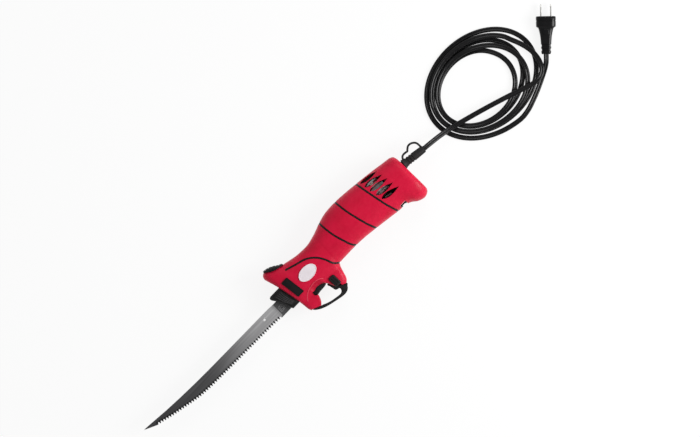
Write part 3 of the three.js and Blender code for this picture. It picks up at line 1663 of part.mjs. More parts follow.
function place(group, name, solid, material) {
  const mesh = new THREE.Mesh(geometryOf(solid), material);
  mesh.name = name;
  group.add(mesh);
}

const wholeHousing = housingSolid();
const leftSide = box(-FAR, 5 * FAR, -FAR, FAR, PARTING_GAP, FAR);
const rightSide = box(-FAR, 5 * FAR, -FAR, FAR, -FAR, -PARTING_GAP);
place(knife, "left_housing", wholeHousing.intersect(leftSide), RED);
place(knife, "right_housing", wholeHousing.intersect(rightSide), RED);

const bandShell = bandTop.subtract(bandFloor);
for (const [name, line] of Object.entries(BAND_LINES)) {
  place(knife, name, ribbon(line, BAND_WIDTH, BAND_STEPS, -FAR, FAR).intersect(bandShell), BLACK);
}
const accentLine = ACCENT_LINE.slice(0, -1);
const accentStrip = (side) =>
  ribbon(accentLine, BAND_WIDTH, accentLine.length - 1, ...sideSpan(side, ACCENT_START_Z, FAR));
place(knife, "left_accent_line", accentStrip(1).intersect(bandShell), BLACK);
place(knife, "right_accent_line", accentStrip(-1).intersect(bandShell), BLACK);

const plateShell = plateTop.subtract(plateFloor);
const badgeOutline = ellipse(BADGE.x, BADGE.y, BADGE.halfLength, BADGE.halfHeight);
place(knife, "oval_badge", prism(badgeOutline, PLATE_START_Z, FAR).intersect(plateShell), PALE);
place(knife, "side_label", prism(LABEL_OUTLINE, PLATE_START_Z, FAR).intersect(plateShell), BLACK);

const thumbOutline = [...THUMB_LINE.map(([x, y]) => [x, y + GAP]), ...THUMB_TOP];
const thumbLimit = box(THUMB_PAD.x0, THUMB_PAD.x1, 0, FAR, -FAR, FAR);
place(
  knife,
  "thumb_rest",
  prism(thumbOutline, -FAR, FAR).intersect(bodySolid(THUMB_RISE)).intersect(thumbLimit),
  RUBBER,
);
place(knife, "trigger_guard", prism(GUARD_OUTLINE, -GUARD_HALF, GUARD_HALF), BLACK);
function insideNotch(inset, bottom, half) {
  return box(NOTCH.x0 + inset, NOTCH.x1 - inset, bottom, NOTCH.top - inset, -half, half);
}
const linerOuter = insideNotch(GAP, LINER.bottom, LINER.half);
place(knife, "notch_liner", linerOuter.subtract(insideNotch(LINER.wall, -FAR, FAR)), BLACK);

place(knife, "blade_collar", collarSolid(), BLACK);
place(knife, "left_release_button", releaseButtonSolid(1), BLACK);
place(knife, "right_release_button", releaseButtonSolid(-1), BLACK);

place(knife, "left_blade", bladeSolid(1), BLADE_STEEL);
place(knife, "right_blade", bladeSolid(-1), BLADE_STEEL);
place(knife, "blade_rivet", rivetSolid(), STEEL);
place(knife, "left_blade_shoulder", shoulderSolid(1), GREY_PLASTIC);
place(knife, "right_blade_shoulder", shoulderSolid(-1), GREY_PLASTIC);
place(knife, "left_drive_arm", driveArmSolid(1), NYLON);
place(knife, "right_drive_arm", driveArmSolid(-1), NYLON);
function levelBlock({ x0, x1, y0, y1, half }) {
  return box(x0, x1, y0, y1, -half, half);
}
place(knife, "arm_guide", levelBlock(ARM_GUIDE).subtract(levelBlock(ARM_GUIDE_SLOT)), NYLON);

place(knife, "motor_can", ringAlongX(CAN, CAN_RADIUS, CAN_RADIUS - CAN_WALL), STEEL);
const shaftHole = SHAFT_RADIUS + SHAFT_HOLE_GAP;
place(knife, "motor_front_plate", ringAlongX(FRONT_PLATE, CAN_RADIUS, shaftHole), DARK_STEEL);
place(knife, "motor_end_cap", ringAlongX(END_CAP, END_CAP.radius, shaftHole), BLACK);
place(knife, "upper_magnet", magnetSolid(1), CERAMIC);
place(knife, "lower_magnet", magnetSolid(-1), CERAMIC);
place(knife, "rotor_core", rotorSolid(), COPPER);
place(knife, "commutator", ringAlongX(COMMUTATOR, COMMUTATOR.radius, SHAFT_RADIUS + GAP, 14), COPPER);
place(knife, "motor_shaft", pinAlongX(MOTOR_Y, 0, SHAFT_RADIUS, SHAFT.x0, SHAFT.x1, 12), STEEL);
place(knife, "cooling_fan", fanSolid(), NYLON);
place(knife, "worm", wormSolid(), STEEL);
place(knife, "shaft_bearing", ringAlongX(BEARING, BEARING.radius, SHAFT_RADIUS + GAP, 16), BRASS);
place(knife, "worm_gear", wormGearSolid(), NYLON);
place(knife, "gear_axle", pinAlongZ(GEAR_X, GEAR_Y, AXLE_RADIUS, -AXLE_HALF, AXLE_HALF, 16), STEEL);

place(knife, "trigger", triggerSolid(), BLACK);
place(
  knife,
  "trigger_pin",
  pinAlongZ(TRIGGER_PIVOT.x, TRIGGER_PIVOT.y, TRIGGER_PIVOT.radius, -TRIGGER_PIN_HALF, TRIGGER_PIN_HALF, 16),
  STEEL,
);
place(knife, "trigger_spring", springSolid(TRIGGER_SPRING, "y"), STEEL);
const lockSolid = bevelledPrism(lockOutline(0), LOCK_BUTTON.z0, LOCK_BUTTON.z1, LOCK_BUTTON.bevel);
place(knife, "lock_button", lockSolid, BLACK);
place(knife, "lock_spring", springSolid(LOCK_SPRING, "z"), STEEL);
place(knife, "power_switch", switchSolid(), GREY_PLASTIC);
place(knife, "switch_plunger", pinAlongY(PLUNGER.x, 0, PLUNGER.radius, PLUNGER.y0, PLUNGER.y1, 12), NYLON);
place(knife, "rectifier_board", boardSolid(), BOARD);
place(knife, "supply_lead", leadSolid(1), BLACK);
place(knife, "motor_lead", leadSolid(-1), BLACK);
SCREWS.forEach((screw, i) => {
  place(knife, `housing_screw_${i + 1}`, screwSolid(screw), STEEL);
});

place(cord, "strain_relief", strainReliefSolid(), RUBBER);
const pieces = cordPieces();
place(cord, "cord_lead", loft(cordRings(pieces.cord_lead, cordSection(8))), BLACK);
place(cord, "cord_coil", loft(cordRings(pieces.cord_coil, cordSection(6))), BLACK);
place(cord, "cord_tail", loft(cordRings(pieces.cord_tail, cordSection(8))), BLACK);
place(cord, "plug_body", plugSolid(), BLACK);
place(cord, "wide_prong", prongSolid(-1), STEEL);
place(cord, "narrow_prong", prongSolid(1), STEEL);

const gap = leastGap(pieces);
console.log(`cord length ${gap.length.toFixed(0)} mm, least gap to itself ${gap.least.toFixed(2)} mm`);

// Stand the knife on the ground with the middle of its own box at the origin
const bounds = new THREE.Box3().setFromObject(knife);
const middle = bounds.getCenter(new THREE.Vector3());
const whole = new THREE.Group();
whole.add(knife, cord);
whole.position.set(-middle.x, -middle.y, -bounds.min.z);

export default whole;
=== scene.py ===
"""Looks of a corded electric fillet knife that lies on its side with its cord coiled behind it."""

import math

import bmesh
import bpy
import numpy as np
from mathutils import Matrix, Vector


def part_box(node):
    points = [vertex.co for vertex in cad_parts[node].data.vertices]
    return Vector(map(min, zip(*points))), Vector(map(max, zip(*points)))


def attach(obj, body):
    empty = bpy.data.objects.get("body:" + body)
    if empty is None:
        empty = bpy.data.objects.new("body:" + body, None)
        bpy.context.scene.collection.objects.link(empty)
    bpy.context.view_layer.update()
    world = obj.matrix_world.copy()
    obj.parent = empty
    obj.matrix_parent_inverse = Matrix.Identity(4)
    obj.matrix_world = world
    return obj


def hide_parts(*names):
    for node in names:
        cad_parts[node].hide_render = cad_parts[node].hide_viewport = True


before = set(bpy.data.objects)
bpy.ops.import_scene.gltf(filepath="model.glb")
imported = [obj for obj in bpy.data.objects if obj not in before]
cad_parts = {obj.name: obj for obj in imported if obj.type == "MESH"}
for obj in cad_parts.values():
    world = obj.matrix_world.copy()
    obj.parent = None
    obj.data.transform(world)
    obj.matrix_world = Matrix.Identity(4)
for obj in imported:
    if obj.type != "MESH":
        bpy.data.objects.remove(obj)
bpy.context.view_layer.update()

# Drawing frame: millimetres, x from the blade tip to the butt, y towards the spine, z up from the plane
# where the two housing halves meet. The left blade gives its place in the row frame.
MM = 0.001
TIP_X = -262.5
TIP_Y = 21.2
BLADE_INNER_Z = 0.1
blade_low, blade_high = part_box("left_blade")
ORIGIN = Vector((blade_low.x, blade_high.y, blade_low.z)) - MM * Vector((TIP_X, TIP_Y, BLADE_INNER_Z))
TO_ROW = Matrix.Translation(ORIGIN) @ Matrix.Scale(MM, 4)
HALF_THICKNESS = 23.0
FLOOR_Z = -HALF_THICKNESS
FAR = 60.0
HALF_SPACE = (-100, 300, -100, 100)
GAP = 0.3

# How much of a side a rounded corner may take, and how far a sharp corner of an inset may reach
CORNER_LIMIT = 0.45
MITRE_LIMIT = 0.25

# Handle body. Each row is one cross-section: spine x, spine y, keel x, keel y, belly y, half thickness
# of the handle, half thickness of the lobe round the finger hole, and how far the section bows towards
# the butt.
SECTIONS = [
    [-19.6, 43.2, -7.6, -22, -13, 12.5, 9.5, 2.2], [-18.6, 46.8, -6.6, -25, -13.2, 14.8, 11.6, 2.1],
    [-15.7, 49.7, -4.5, -28, -13.4, 16.2, 12.8, 1.9], [-11, 50.5, -1.5, -30.5, -13.4, 16.9, 13.3, 1.6],
    [-5, 49, 3, -32.5, -13.2, 17.4, 13.5, 1.2], [1, 46, 8, -34, -13, 17.7, 13.5, 0.8],
    [6, 42.6, 13, -35, -13, 17.9, 13.5, 0.5], [12, 39.9, 18, -35.5, -13, 18, 13.5, 0.2],
    [20, 37.9, 25, -36, -13, 18, 13.5, 0], [30, 35.8, 33, -36.3, -13, 18, 13.5, 0],
    [40, 35, 42, -36, -12.8, 18, 13.5, 0], [47, 34.9, 48, -35, -12.5, 18, 13.5, 0],
    [52, 35.3, 52.4, -32, -12.3, 18.1, 13.3, 0], [55, 35.9, 55, -28, -12, 18.3, 12.8, 0],
    [58, 36.6, 57.3, -21, -11.5, 18.6, 11.5, 0], [61, 37.4, 59.7, -14, -11, 19, 8.5, 0],
    [65, 38.5, 63.5, -10.3, -10.3, 19.4, 0, 0], [72, 40.8, 75, -9.8, -9.8, 20, 0, 0],
    [80, 43.7, 91, -9.7, -9.7, 21.2, 0, 0], [95, 47.2, 108, -10.7, -10.7, 22.5, 0, 0],
    [113, 47.8, 126, -13, -13, 23, 0, 0], [130, 46.6, 143, -15.4, -15.4, 23, 0, 0],
    [148, 44.6, 160.5, -18, -18, 23, 0, 0], [165, 42.4, 172, -19.2, -19.2, 23, 0, 0],
    [178, 40.6, 180, -21.7, -21.7, 23, 0, 0], [188, 38.9, 187.5, -27.2, -27.2, 23, 0, 0],
    [197, 37.5, 195.5, -30, -30, 23, 0, 0], [202, 36.4, 201.5, -29, -29, 22.4, 0, 0],
    [205.6, 33.9, 205.6, -25.9, -25.9, 20.3, 0, 0], [207, 29.5, 206.9, -21.7, -21.7, 16.5, 0, 0],
]
SIDE_EXPONENT = 2.7
LOBE_EXPONENT = 4.0
BLEND_EXPONENT = 4.0
LEAST_LOBE = 0.01
FLAT_GAIN = 1.012
SIDE_POINTS = 56
STATION_STEP = 1.3
WALL = 2.5
PARTING_GAP = 0.12

# Finger hole, from the front wall over the roof to the rear wall: x, y and how far its rounded rim
# reaches outwards. RIM_CLOSING closes the rim's outline below.
FINGER_WALL = [
    [7.9, -31.2, 10], [10.2, -27.9, 11], [12.2, -24.5, 11.5], [13.8, -20.6, 11], [14.5, -16.8, 10],
    [14.8, -13.6, 8.5], [15.9, -11.5, 7], [18.4, -10.6, 6.2], [23.5, -10.9, 6], [28.2, -12.6, 5.5],
    [31.9, -16.4, 4.5], [34.4, -20.8, 3.5], [36.4, -25.7, 2.5], [38, -28.2, 2],
]
RIM_CREST = [
    [-1, -15.2], [3.2, -10.3], [9.2, -6.4], [17, -4.5], [23.4, -4.1], [29.6, -5.6], [33.6, -9.2],
]
RIM_CLOSING = [[38, -38, 0], [7, -42, 0]]
WALL_STEPS = 5
CREST_WIDTH = 0.9
CREST_SKIN = (0.3, -0.3)
RIM_ROOT_Z = 5.0
RIM_START_Z = 8.0
RIM_END_Z = 16.0
RIM_LEVELS = 9
RIM_LAST_SHARE = 0.985
RIM_FLARE = (RIM_END_Z + 5, 1.9)
BELOW_START = [[-16, -26.4], [-3.5, -26.4], [3, -29], [7.2, -30.7]]
BELOW_END = [[41.5, -29.9], [46, -32.1], [50.6, -34.3], [60, -38], [60, -70], [-16, -70]]
TRIGGER_POCKET = [
    [5, -5], [5, -10.5], [8.6, -11.6], [10.4, -12.4], [10.4, -16], [11.3, -17.3], [13.2, -18.2],
    [15.8, -18.5], [20, -18.9], [31.4, -18.6], [33.6, -11], [33.6, -5],
]
TRIGGER_RECESS = [
    [10.5, -11.6], [10.5, -15.8], [11.4, -17.2], [13.2, -18.2], [15.8, -18.5], [17.5, -17.8],
    [17.5, -11.6],
]
TRIGGER_POCKET_HALF = 6.8
COLLAR_POCKET = (-40, -6.2, -8.4, 23.6, -12.4, 12.4)
TANG_POCKET = (-40, 0, -6.9, 14.9, -9.4, 9.4)
LOCK_BUTTON = (37, 46, -28.5, -13.9)
LOCK_CORNER = 2.4
LOCK_Z = (6.5, 15.8)
LOCK_FLOOR_Z = 1.5
LOCK_LINES = (39.6, 42.6)
LOCK_LINE_WIDTH = 0.8
LOCK_LINE_Y = (-26.4, -16)
LOCK_LINE_FLOOR = 15.1
LOCK_MOUTH = (37, 44.4, -FAR, -25, LOCK_FLOOR_Z, FAR)
NOTCH = (167.4, 176.4)
NOTCH_TOP = -15.0
LINER_WALL = 2.1
LINER_END_Y = -18.2
LINER_HALF = 14.0
LINER_EDGE = 0.3
CAVITY_X = (-4.5, 203.3)
CAVITY_STOPS = [
    (-40, 14, 36.5, FAR),
    (-40, 34.5, -FAR, -7),
    (NOTCH[0] - 3, NOTCH[1] + 3, -FAR, NOTCH_TOP + 3),
]

# Inlaid lines
BAND_LINES = {
    "front": [
        [80, 50], [80, 43.5], [80.2, 35], [82, 20], [86, 5], [89, -4], [93, -10], [97, -15.5],
    ],
    "middle": [
        [112.8, 54], [113, 47.5], [115, 28], [120, 5], [123, -5], [126, -13], [128.5, -19],
    ],
    "rear": [
        [147.2, 51], [148, 44.3], [150.5, 28], [155, 3], [158, -9], [160.5, -17.5], [162.5, -24],
    ],
}
ACCENT_LINE = [
    [7.5, 33], [21.5, 28.6], [35.5, 24.2], [45.3, 16.8], [51.9, 7], [56, -3.8], [62, -9.8], [66, -13.5],
]
GROOVE_WIDTH = 2.6
GROOVE_DEPTH = 1.0
BAND_WIDTH = 2.3
BAND_SKIN = (-0.2, -0.9)
ACCENT_START_Z = 0.8

# Leaf-shaped vents: the two tips of each one and its half width
VENTS = [
    [152.2, 40.8, 178.2, 36.6, 2.6], [152.6, 33.7, 179.8, 29, 3.3], [153.7, 25.4, 181, 20.9, 3.5],
    [155.6, 16.4, 182.2, 12, 3.5], [157.2, 8.1, 183.8, 3.2, 3.5],
]
VENT_POWER = 0.72
VENT_START_Z = 6.0

# Housing screws: x, y and the height of the tip
SCREWS = [
    [1, 31.5, 12.2], [50.6, -24, 6.2], [66, 32, 12.2], [110, 38, 12.2], [194, -20, 12.2],
    [196, 30.5, 12.2],
]
SCREW_SEAT_Z = -8.3
SCREW_HEAD_HOLE = 3.5
SCREW_SHANK_HOLE = 1.75
SCREW_RECESS = (1.8, 0.35, 1.2)

# Screw profile: distance from the top of the head or back from the tip, and radius
SCREW_HEAD = [[0, 1.2], [0.15, 2], [0.7, 2.8], [1.4, 3], [2.4, 3], [2.4, 1.3]]
SCREW_TIP = [[0.8, 1.3], [0.1, 0.2]]
BOSS_RADIUS = 4.6

# Pads and plates on the handle
THUMB_LINE = [
    [-14.4, 50.6], [-12.5, 49.4], [-9, 46.8], [-4, 43.4], [2, 41.7], [9.5, 40.2], [13, 39.2],
]
THUMB_RISE = 1.6
THUMB_FLOOR = 0.8
THUMB_LIMIT = (-14, 10.5, 0, 80)
THUMB_GROOVES = (2.4, 7.6, 0.72)
THUMB_GROOVE_WIDTH = 1.0
THUMB_REACH = (9, 6)
THUMB_TOP = [[13, 70], [-14.4, 70]]
LABEL_OUTLINE = [[-8, 25], [-5, -2.5], [5.4, -2.4], [2.4, 25.4]]
LABEL_CORNER = 1.0
LABEL_RIM_WIDTH = 0.6
LABEL_SKINS = [(0.6, 0.02), (0.85, 0.3)]
BADGE = (25, 10.5, 13.5, 8.5)
BADGE_HOLLOW = (25, 10.5, 12.7, 7.7)
BADGE_SKINS = [(0.7, 0.02), (0.9, 0.3)]
PLATE_START_Z = 5.0
GUARD_GROWTH = 0.2
GUARD_HALF = 5.0
GUARD_EDGE = 0.45
GUARD_OUTLINE = [
    [-3.4, -26.8], [-2.7, -28.6], [0.2, -31.1], [5, -34], [12, -36.8], [20, -38.9], [30, -41.1],
    [36.5, -42.2], [41.3, -42], [45.4, -40.3], [48, -37.3], [50.2, -34.7], [46, -32.5], [41.3, -29.6],
    [38.4, -28.2], [36.7, -25.7], [34.8, -20.8], [33, -17.8], [31.1, -18.7], [32.2, -21.9],
    [33.2, -26.9], [34, -29.9], [36.3, -31.2], [38.7, -31.8], [39.4, -33.3], [38.8, -35.5],
    [37.1, -37.4], [34.2, -38.3], [30, -37.9], [20, -36], [13, -33.6], [9.8, -32.1], [6.9, -31.1],
    [3, -29.4],
]
TRIGGER_OUTLINE = [
    [5.6, -7.5], [6.4, -5.3], [8.5, -4.5], [20, -4.5], [33, -4.5], [33, -7.5], [31.2, -9], [31.6, -13],
    [31.2, -15.6], [28.6, -17], [23.5, -17.4], [19.6, -17.5], [17.4, -17.8], [15.4, -18.2], [13.4, -18],
    [11.6, -17.1], [10.65, -15.4], [10.65, -12.8], [9, -10.6], [6.4, -9.8],
]
TRIGGER_PIVOT = (8.5, -7.5)
TRIGGER_PIVOT_RADIUS = 1.5
TRIGGER_HALF = 6.4
KEY_EDGE = 1.2

# Springs: start, direction, length, radius, wire radius and number of curls
SPRINGS = {
    "trigger": ((31, -4.2, 0), (0, 1, 0), 4.5, 1.7, 0.3, 3),
    "lock": ((41.5, -21.2, 1.8), (0, 0, 1), 4.4, 2.2, 0.35, 3),
}

# Blades and what holds them
TOOTH_TIPS = [
    [-39, -5.7], [-60, -4.9], [-90, -4.4], [-125, -3.8], [-150, -3.2], [-175, -2], [-190, 0],
    [-205, 3.1], [-220, 6.2], [-233, 9.5], [-246, 13.1],
]
BLADE_TIP = [[-252.5, 16.2], [-258, 18.8], [-262.5, 21.2]]
BLADE_SPINE = [
    [-256, 20.9], [-245, 19.9], [-225, 18.1], [-200, 16.6], [-175, 15.6], [-150, 15.1], [-120, 14.9],
    [-60, 14.7], [-42, 14.5], [-38.5, 14.1], [-13, 14],
]
BLADE_TANG = [[-13, 9.5], [10, 9.5], [10, 0.5], [-13, 0.5], [-13, -5.8], [-38.2, -5.8]]
BLADE_OUTER_Z = 1.0
BLADE_EDGE = 0.08
TOOTH_COUNT = 54
TOOTH_DEPTH = 2.4
FIRST_GULLET = 0.3
GULLET_RADIUS = 0.95
GULLET_ARC = 0.12
GULLET_SIDES = [[-1.5, -0.1], [-1.7, -2], [1.7, -2], [1.5, -0.1]]
CUT_Z = (-0.6, 1.6)
HOLLOW = (TOOTH_DEPTH + 0.2, 0.95, 1.8)
HOLLOW_Z = 0.6
STEEP = 0.9
RIVET = (-56.5, 8.3)
RIVET_RADIUS = 1.2
RIVET_SLOT_HALF = 7.3
RIVET_PROFILE = [
    [-2, 0.3], [-1.9, 1.5], [-1.35, 2.1], [-1.3, RIVET_RADIUS], [1.3, RIVET_RADIUS], [1.32, 1.75],
    [1.5, 1.6], [1.62, 1.1], [1.66, 0.15],
]
SHOULDER_OUTLINE = [[-38.4, -5.7], [-35.4, -4], [-35, 13.8], [-7, 13.8], [-7, -5.7]]
SHOULDER_TOP_Z = 4.8
SHOULDER_CORNER = 1.2
SHOULDER_EDGE = 0.5
HUB_MARK = (-29.7, 3.3)
OUTER_FRAME = (3.7, 0.6)
INNER_FRAME = (2.1, 0.5)
FRAME_CORNERS = (0.5, 0.3)
FRAME_Z = (SHOULDER_TOP_Z - 0.3, SHOULDER_TOP_Z + 0.25)
FRAME_EDGE = 0.12
COLLAR_OUTLINE = [
    [-6.5, 23.3], [-29.5, 23.3], [-31.7, 22.3], [-32.4, 20.6], [-31.9, 18.6], [-30.4, 16.2],
    [-27.4, 11.4], [-25, 7], [-23, 1], [-21.5, -4.6], [-20, -8.1], [-6.5, -8.1],
]
COLLAR_HALF = 12.0
COLLAR_EDGE = 1.4
COLLAR_BORE = (-50, 0, -6.3, 14.4, -5.4, 5.4)
COLLAR_REAR = (-9.5, 0, -6.3, 14.4, -9, 9)
BUTTON_OUTLINE = [
    [-14.8, 20.2], [-28.6, 20.2], [-27.9, 17.4], [-25.2, 12.2], [-22.8, 7.6], [-20.9, 1.6], [-19, -4.9],
    [-11.8, -4.9], [-12.6, 6],
]
BUTTON_CORNER = 1.2
BUTTON_EDGE = 0.5
BUTTON_PLAY = 0.4
BUTTON_RIDGES = [[-25.1, -17.1], [-22.4, -15.5], [-19.7, -14], [-17, -12.5]]
RIDGE_Y = (17.8, -3)
RIDGE_BOW = 1.3
RIDGE_RADIUS = 0.6
BUTTON_BASE_Z = 9.3
BUTTON_TOP_Z = 12.4
BUTTON_POCKET_Z = 7.0

# Motor, seen through the vents: x and radius
MOTOR_Y = 21.0
CAN_PROFILE = [
    [120, 15.2], [120, 16.1], [120.5, 16.5], [168, 16.5], [168.4, 16], [169.6, 16], [170, 16.5],
    [173.6, 16.5], [174, 16.1], [174, 15.2],
]
CAN_BORE = [[115, 15.2], [179, 15.2]]
CAP_PROFILE = [[174.3, 14.6], [174.9, 15.5], [179.8, 15.5], [181, 14.2]]
CAP_BORE = [[169.3, 3], [186, 3]]
CRADLE_DEPTH = WALL + 0.2
CRADLE_PLATE = (149, 190, -12, 45, -1, 1)
CRADLE_BLOCK = (149.5, 182.4, 0.5, 44, -9.5, 9.5)
CRADLE_SEAT = [[140, 16.8], [174.1, 16.8], [174.2, 15.7], [181.3, 15.7]]
CRADLE_SHAFT = [[180, 3.2], [200, 3.2]]
CRADLE_FAN_ROOM = (182.6, 200, 7, 35, -12, 12)

# Brush parts: outline, corner radius, lower and upper height
BRUSH_PARTS = {
    "brush_tab": ([[159.6, 28.9], [164.6, 28.9], [164.6, 32.6], [159.6, 32.6]], 0.8, 14.6, 15.6),
    "brush_strip": ([[161.6, 5.3], [171.2, 2.9], [171.8, 4.7], [162.2, 7.1]], 0.5, 9.6, 10.6),
}
BRUSH_EDGE = 0.25

# Wires inside the handle: x, y and z of the supply lead's course
SUPPLY_ROUTE = [
    [196.4, 15, 3.8], [194.5, 7, 6], [188, -3, 9], [176, -6.5, 10], [150, -6, 11], [124, -4, 11.8],
    [108, -2, 12], [92, -0.9, 10.3], [76, -1.2, 10.4], [62, -2.4, 10.2], [52, -3.4, 9.8],
    [46, -3.6, 8.6], [42, -3, 5.6], [39.4, -1, 2.8], [37.6, 1.8, 2],
]
MOTOR_LEAD_START = 6
WIRE_RADIUS = 1.3

# Strain relief: distance along its axis and radius
RELIEF_CENTRE = (207, 18.4, 0)
RELIEF_ANGLE = math.radians(-8)
RELIEF_AXIS = (math.cos(RELIEF_ANGLE), math.sin(RELIEF_ANGLE), 0)
RELIEF_HOLE = [[-14, 5.5], [8, 5.5]]
RELIEF_PROFILE = [
    [-8.4, 7], [-5.4, 7], [-5.2, 5.2], [0.7, 5.2], [0.9, 6.4], [1.5, 6.6], [4.2, 5.4], [6.5, 5.4],
    [7.1, 4.7], [8.3, 4.7], [8.9, 5.4], [10.3, 5.4], [10.9, 4.7], [12.1, 4.7], [12.7, 5.4], [14.1, 5.4],
    [14.7, 4.7], [15.9, 4.7], [16.5, 5.4], [32.2, 4.9], [33.2, 4.7], [33.6, 4.2], [33.6, 3.2],
]
HANG_LOOP = [
    [211, 19], [211.9, 23], [213.9, 26], [217, 27.2], [220.5, 26.9], [223.2, 26.5], [225.2, 28.2],
    [228.6, 30.4], [232.4, 30.4], [236, 28.6], [238.5, 25.6], [239.2, 21], [239, 15],
]
HANG_LOOP_RADIUS = 1.35

# Flat twin cord: x, y and height above the ground
CORD_WIDTH = 6.6
CORD_HEIGHT = 3.6
LEAD_ROUTE = [
    [236.5, 14.25, 23], [241, 13.63, 22.6], [250, 12.6, 20.6], [265, 10.6, 15.6], [282, 7.2, 11.4],
    [302, 1.8, 10.4], [330, -6.5, 10.3], [358, -15.6, 10.4], [382, -24, 10.4], [398, -29, 10.3],
    [408.5, -29, 10.1], [417, -24.3, 9.6], [422.5, -15, 8.9], [424.8, -4, 8], [424.3, 7, 7.1],
    [421.6, 18.5, 6.4], [417.3, 30, 6.05],
]
TAIL_ROUTE = [
    [368.2, -47.6, 1.85], [383, -43, 1.85], [396.3, -37.9, 1.9], [408.9, -32.2, 2.2], [419.5, -27, 4.4],
    [426.5, -22.6, 6.6], [430.8, -18.75, 8.3], [434.2, -15.4, 8.6], [436.6, -13, 8.6],
]
COIL_START = math.radians(25)
COIL_TURNS = 4.66
COIL_REVERSAL = 2.0
COIL_STEPS = 24
COIL_MIDDLE = (342.85, 20.55)
COIL_HALF = (50.15, 41.05)
COIL_MIDDLE_GROWTH = (13.25, -3.5)
COIL_HALF_GROWTH = (30.75, 21.9)
COIL_LEAN = -5.0
FIRST_SPREAD = 0.62
SECOND_SPREAD = 0.19
DRAW_IN = (0.65, 1.1)
CLOSE_UP = (1.65, 2)
STEP_DOWN = (1.65, 2.05)
LOWER_TURNS = 2.34
LAYER_STEP = 4.2
CORD_REST = 0.05 + CORD_HEIGHT / 2

# Plug: distance along it, half width and half height
PLUG_START = (434.8, -14.8)
PLUG_ANGLE = math.radians(44.8)
PLUG_AXIS = (math.cos(PLUG_ANGLE), math.sin(PLUG_ANGLE))
PLUG_HEIGHT = 8.6
PLUG_LENGTH = 48.0
PLUG_PROFILE = [
    [0, 5.2, 3.8], [1, 6, 4.3], [4, 6.3, 4.5], [4.6, 5.6, 3.9], [6.6, 5.6, 3.9], [7.2, 6.4, 4.7],
    [9.4, 6.5, 4.9], [10, 5.8, 4.1], [12, 5.9, 4.2], [12.6, 6.6, 5], [17, 6.9, 5.4], [20, 7.15, 5.8],
    [23, 7.5, 6.2], [28, 8.4, 6.7], [32.4, 9.5, 7.15], [33.8, 10.6, 7.6], [34.4, 11.9, 8.1],
    [35.2, 12.5, 8.4], [41.4, 12.7, 8.5], [41.8, 12.3, 8.1], [42.6, 12.3, 8.1], [43, 12.7, 8.5],
    [46.6, 12.7, 8.5], [47.6, 12.4, 8.2], [48, 11.8, 7.7],
]
PRONG_SPACING = 12.7
PRONG_THICKNESS = 1.5
PRONG_LENGTH = 15.9
PRONG_SEAT = 5.0
PRONG_HALF_HEIGHT = {-1: 3.95, 1: 3.15}
PRONG_CORNER = 0.35
PRONG_PLAY = 0.2
SEAT_EDGE = 0.1
PRONG_HOLE = [[-3, 1.6], [3, 1.6]]
PRONG_HOLE_BACK = 4.2
PLUG_PATCH = (25, 31.6, -3.6, 3.6)
PATCH_CORNER = 1.6
PATCH_Z = (5, 7.55)
PATCH_EDGE = 0.5

# Taper of a plug blade: distance back from its end, and what its thickness and height lose on each side
PRONG_TAPER = [[PRONG_LENGTH + PRONG_SEAT, 0, 0], [2.2, 0, 0], [0.8, 0.3, 0.7], [0, 0.55, 1.6]]

# Surfaces: waves of each pattern per metre, and heights of the relief in metres
NOISE_RANGE = (0.3, 0.7)
PATCH_WAVES = 60.0
GLOSS_WAVES = 240.0
GRAIN_WAVES = 2600.0
GRAIN_HEIGHT = 0.00006
BRUSH_WAVES = 700.0
BRUSH_STRENGTH = 0.12
LINE_HEIGHT = 0.00003
BLADE_WAVES = 500.0
BLADE_STRENGTH = 0.08
BLADE_STRETCH = (0.03, 1, 1)
BLADE_COLOR = (0.3, 0.3, 0.31)
BLADE_ROUGHNESS = (0.3, 0.4)

# Blade colours near the hilt, in the middle and at the tip, and where they fade into each other: a painted
# reflection, pale near the hilt and dark at the tip
BLADE_REFLECTION_TONES = [
    ((0.80, 0.795, 0.805), (0.93, 0.925, 0.935)),
    ((0.165, 0.163, 0.168), (0.205, 0.203, 0.208)),
    ((0.115, 0.113, 0.117), (0.15, 0.148, 0.153)),
]
NEAR_FADE = (-165, -40)
FAR_FADE = (-235, -145)

# Ground, light and camera. A softbox has its place rightwards, upwards and above, its size and its power.
GROUND_HALF = 40.0
GROUND_COLOR = (0.95, 0.95, 0.95)
GROUND_GLOW = 0.87
SKY_HEIGHTS = (0.4, 0.9)
SKY_STRENGTHS = (0.6, 0.3)
SOFTBOXES = {
    "right softbox": (1, 0.1, 0.75, 0.7, 13),
    "rear softbox": (0.2, 2, 1.8, 1.2, 12),
}
CAMERA_ROLL = math.radians(-46)
CAMERA_CENTRE = (111.5, 19.5)
CAMERA_HEIGHT = 6.0
PICTURE_WIDTH = 0.887
SENSOR_WIDTH = 36.0
CLIP_END = 200.0


# Curves and outlines


def unit(vectors):
    """Vectors with their length made 1."""
    return vectors / np.linalg.norm(vectors, axis=-1, keepdims=True)


def left_of(along):
    """Plan directions turned a quarter to the left."""
    return np.column_stack([-along[:, 1], along[:, 0]])


def spline_at(rows, places):
    """Points of a smooth curve through rows, at places counted in rows."""
    rows = np.asarray(rows, float)
    padded = np.vstack([2 * rows[0] - rows[1], rows, 2 * rows[-1] - rows[-2]])
    index = np.clip(np.floor(places).astype(int), 0, len(rows) - 2)
    share = (places - index)[:, None]
    before, start, end, after = (padded[index + k] for k in range(4))
    leave = (end - before) / 2
    arrive = (after - start) / 2
    square = -3 * start + 3 * end - 2 * leave - arrive
    cube = 2 * start - 2 * end + leave + arrive
    return start + share * (leave + share * (square + share * cube))


def spline(rows, steps):
    """An open smooth curve through rows, with a number of steps between each two."""
    count = (len(rows) - 1) * steps
    return spline_at(rows, np.arange(count + 1) / steps)


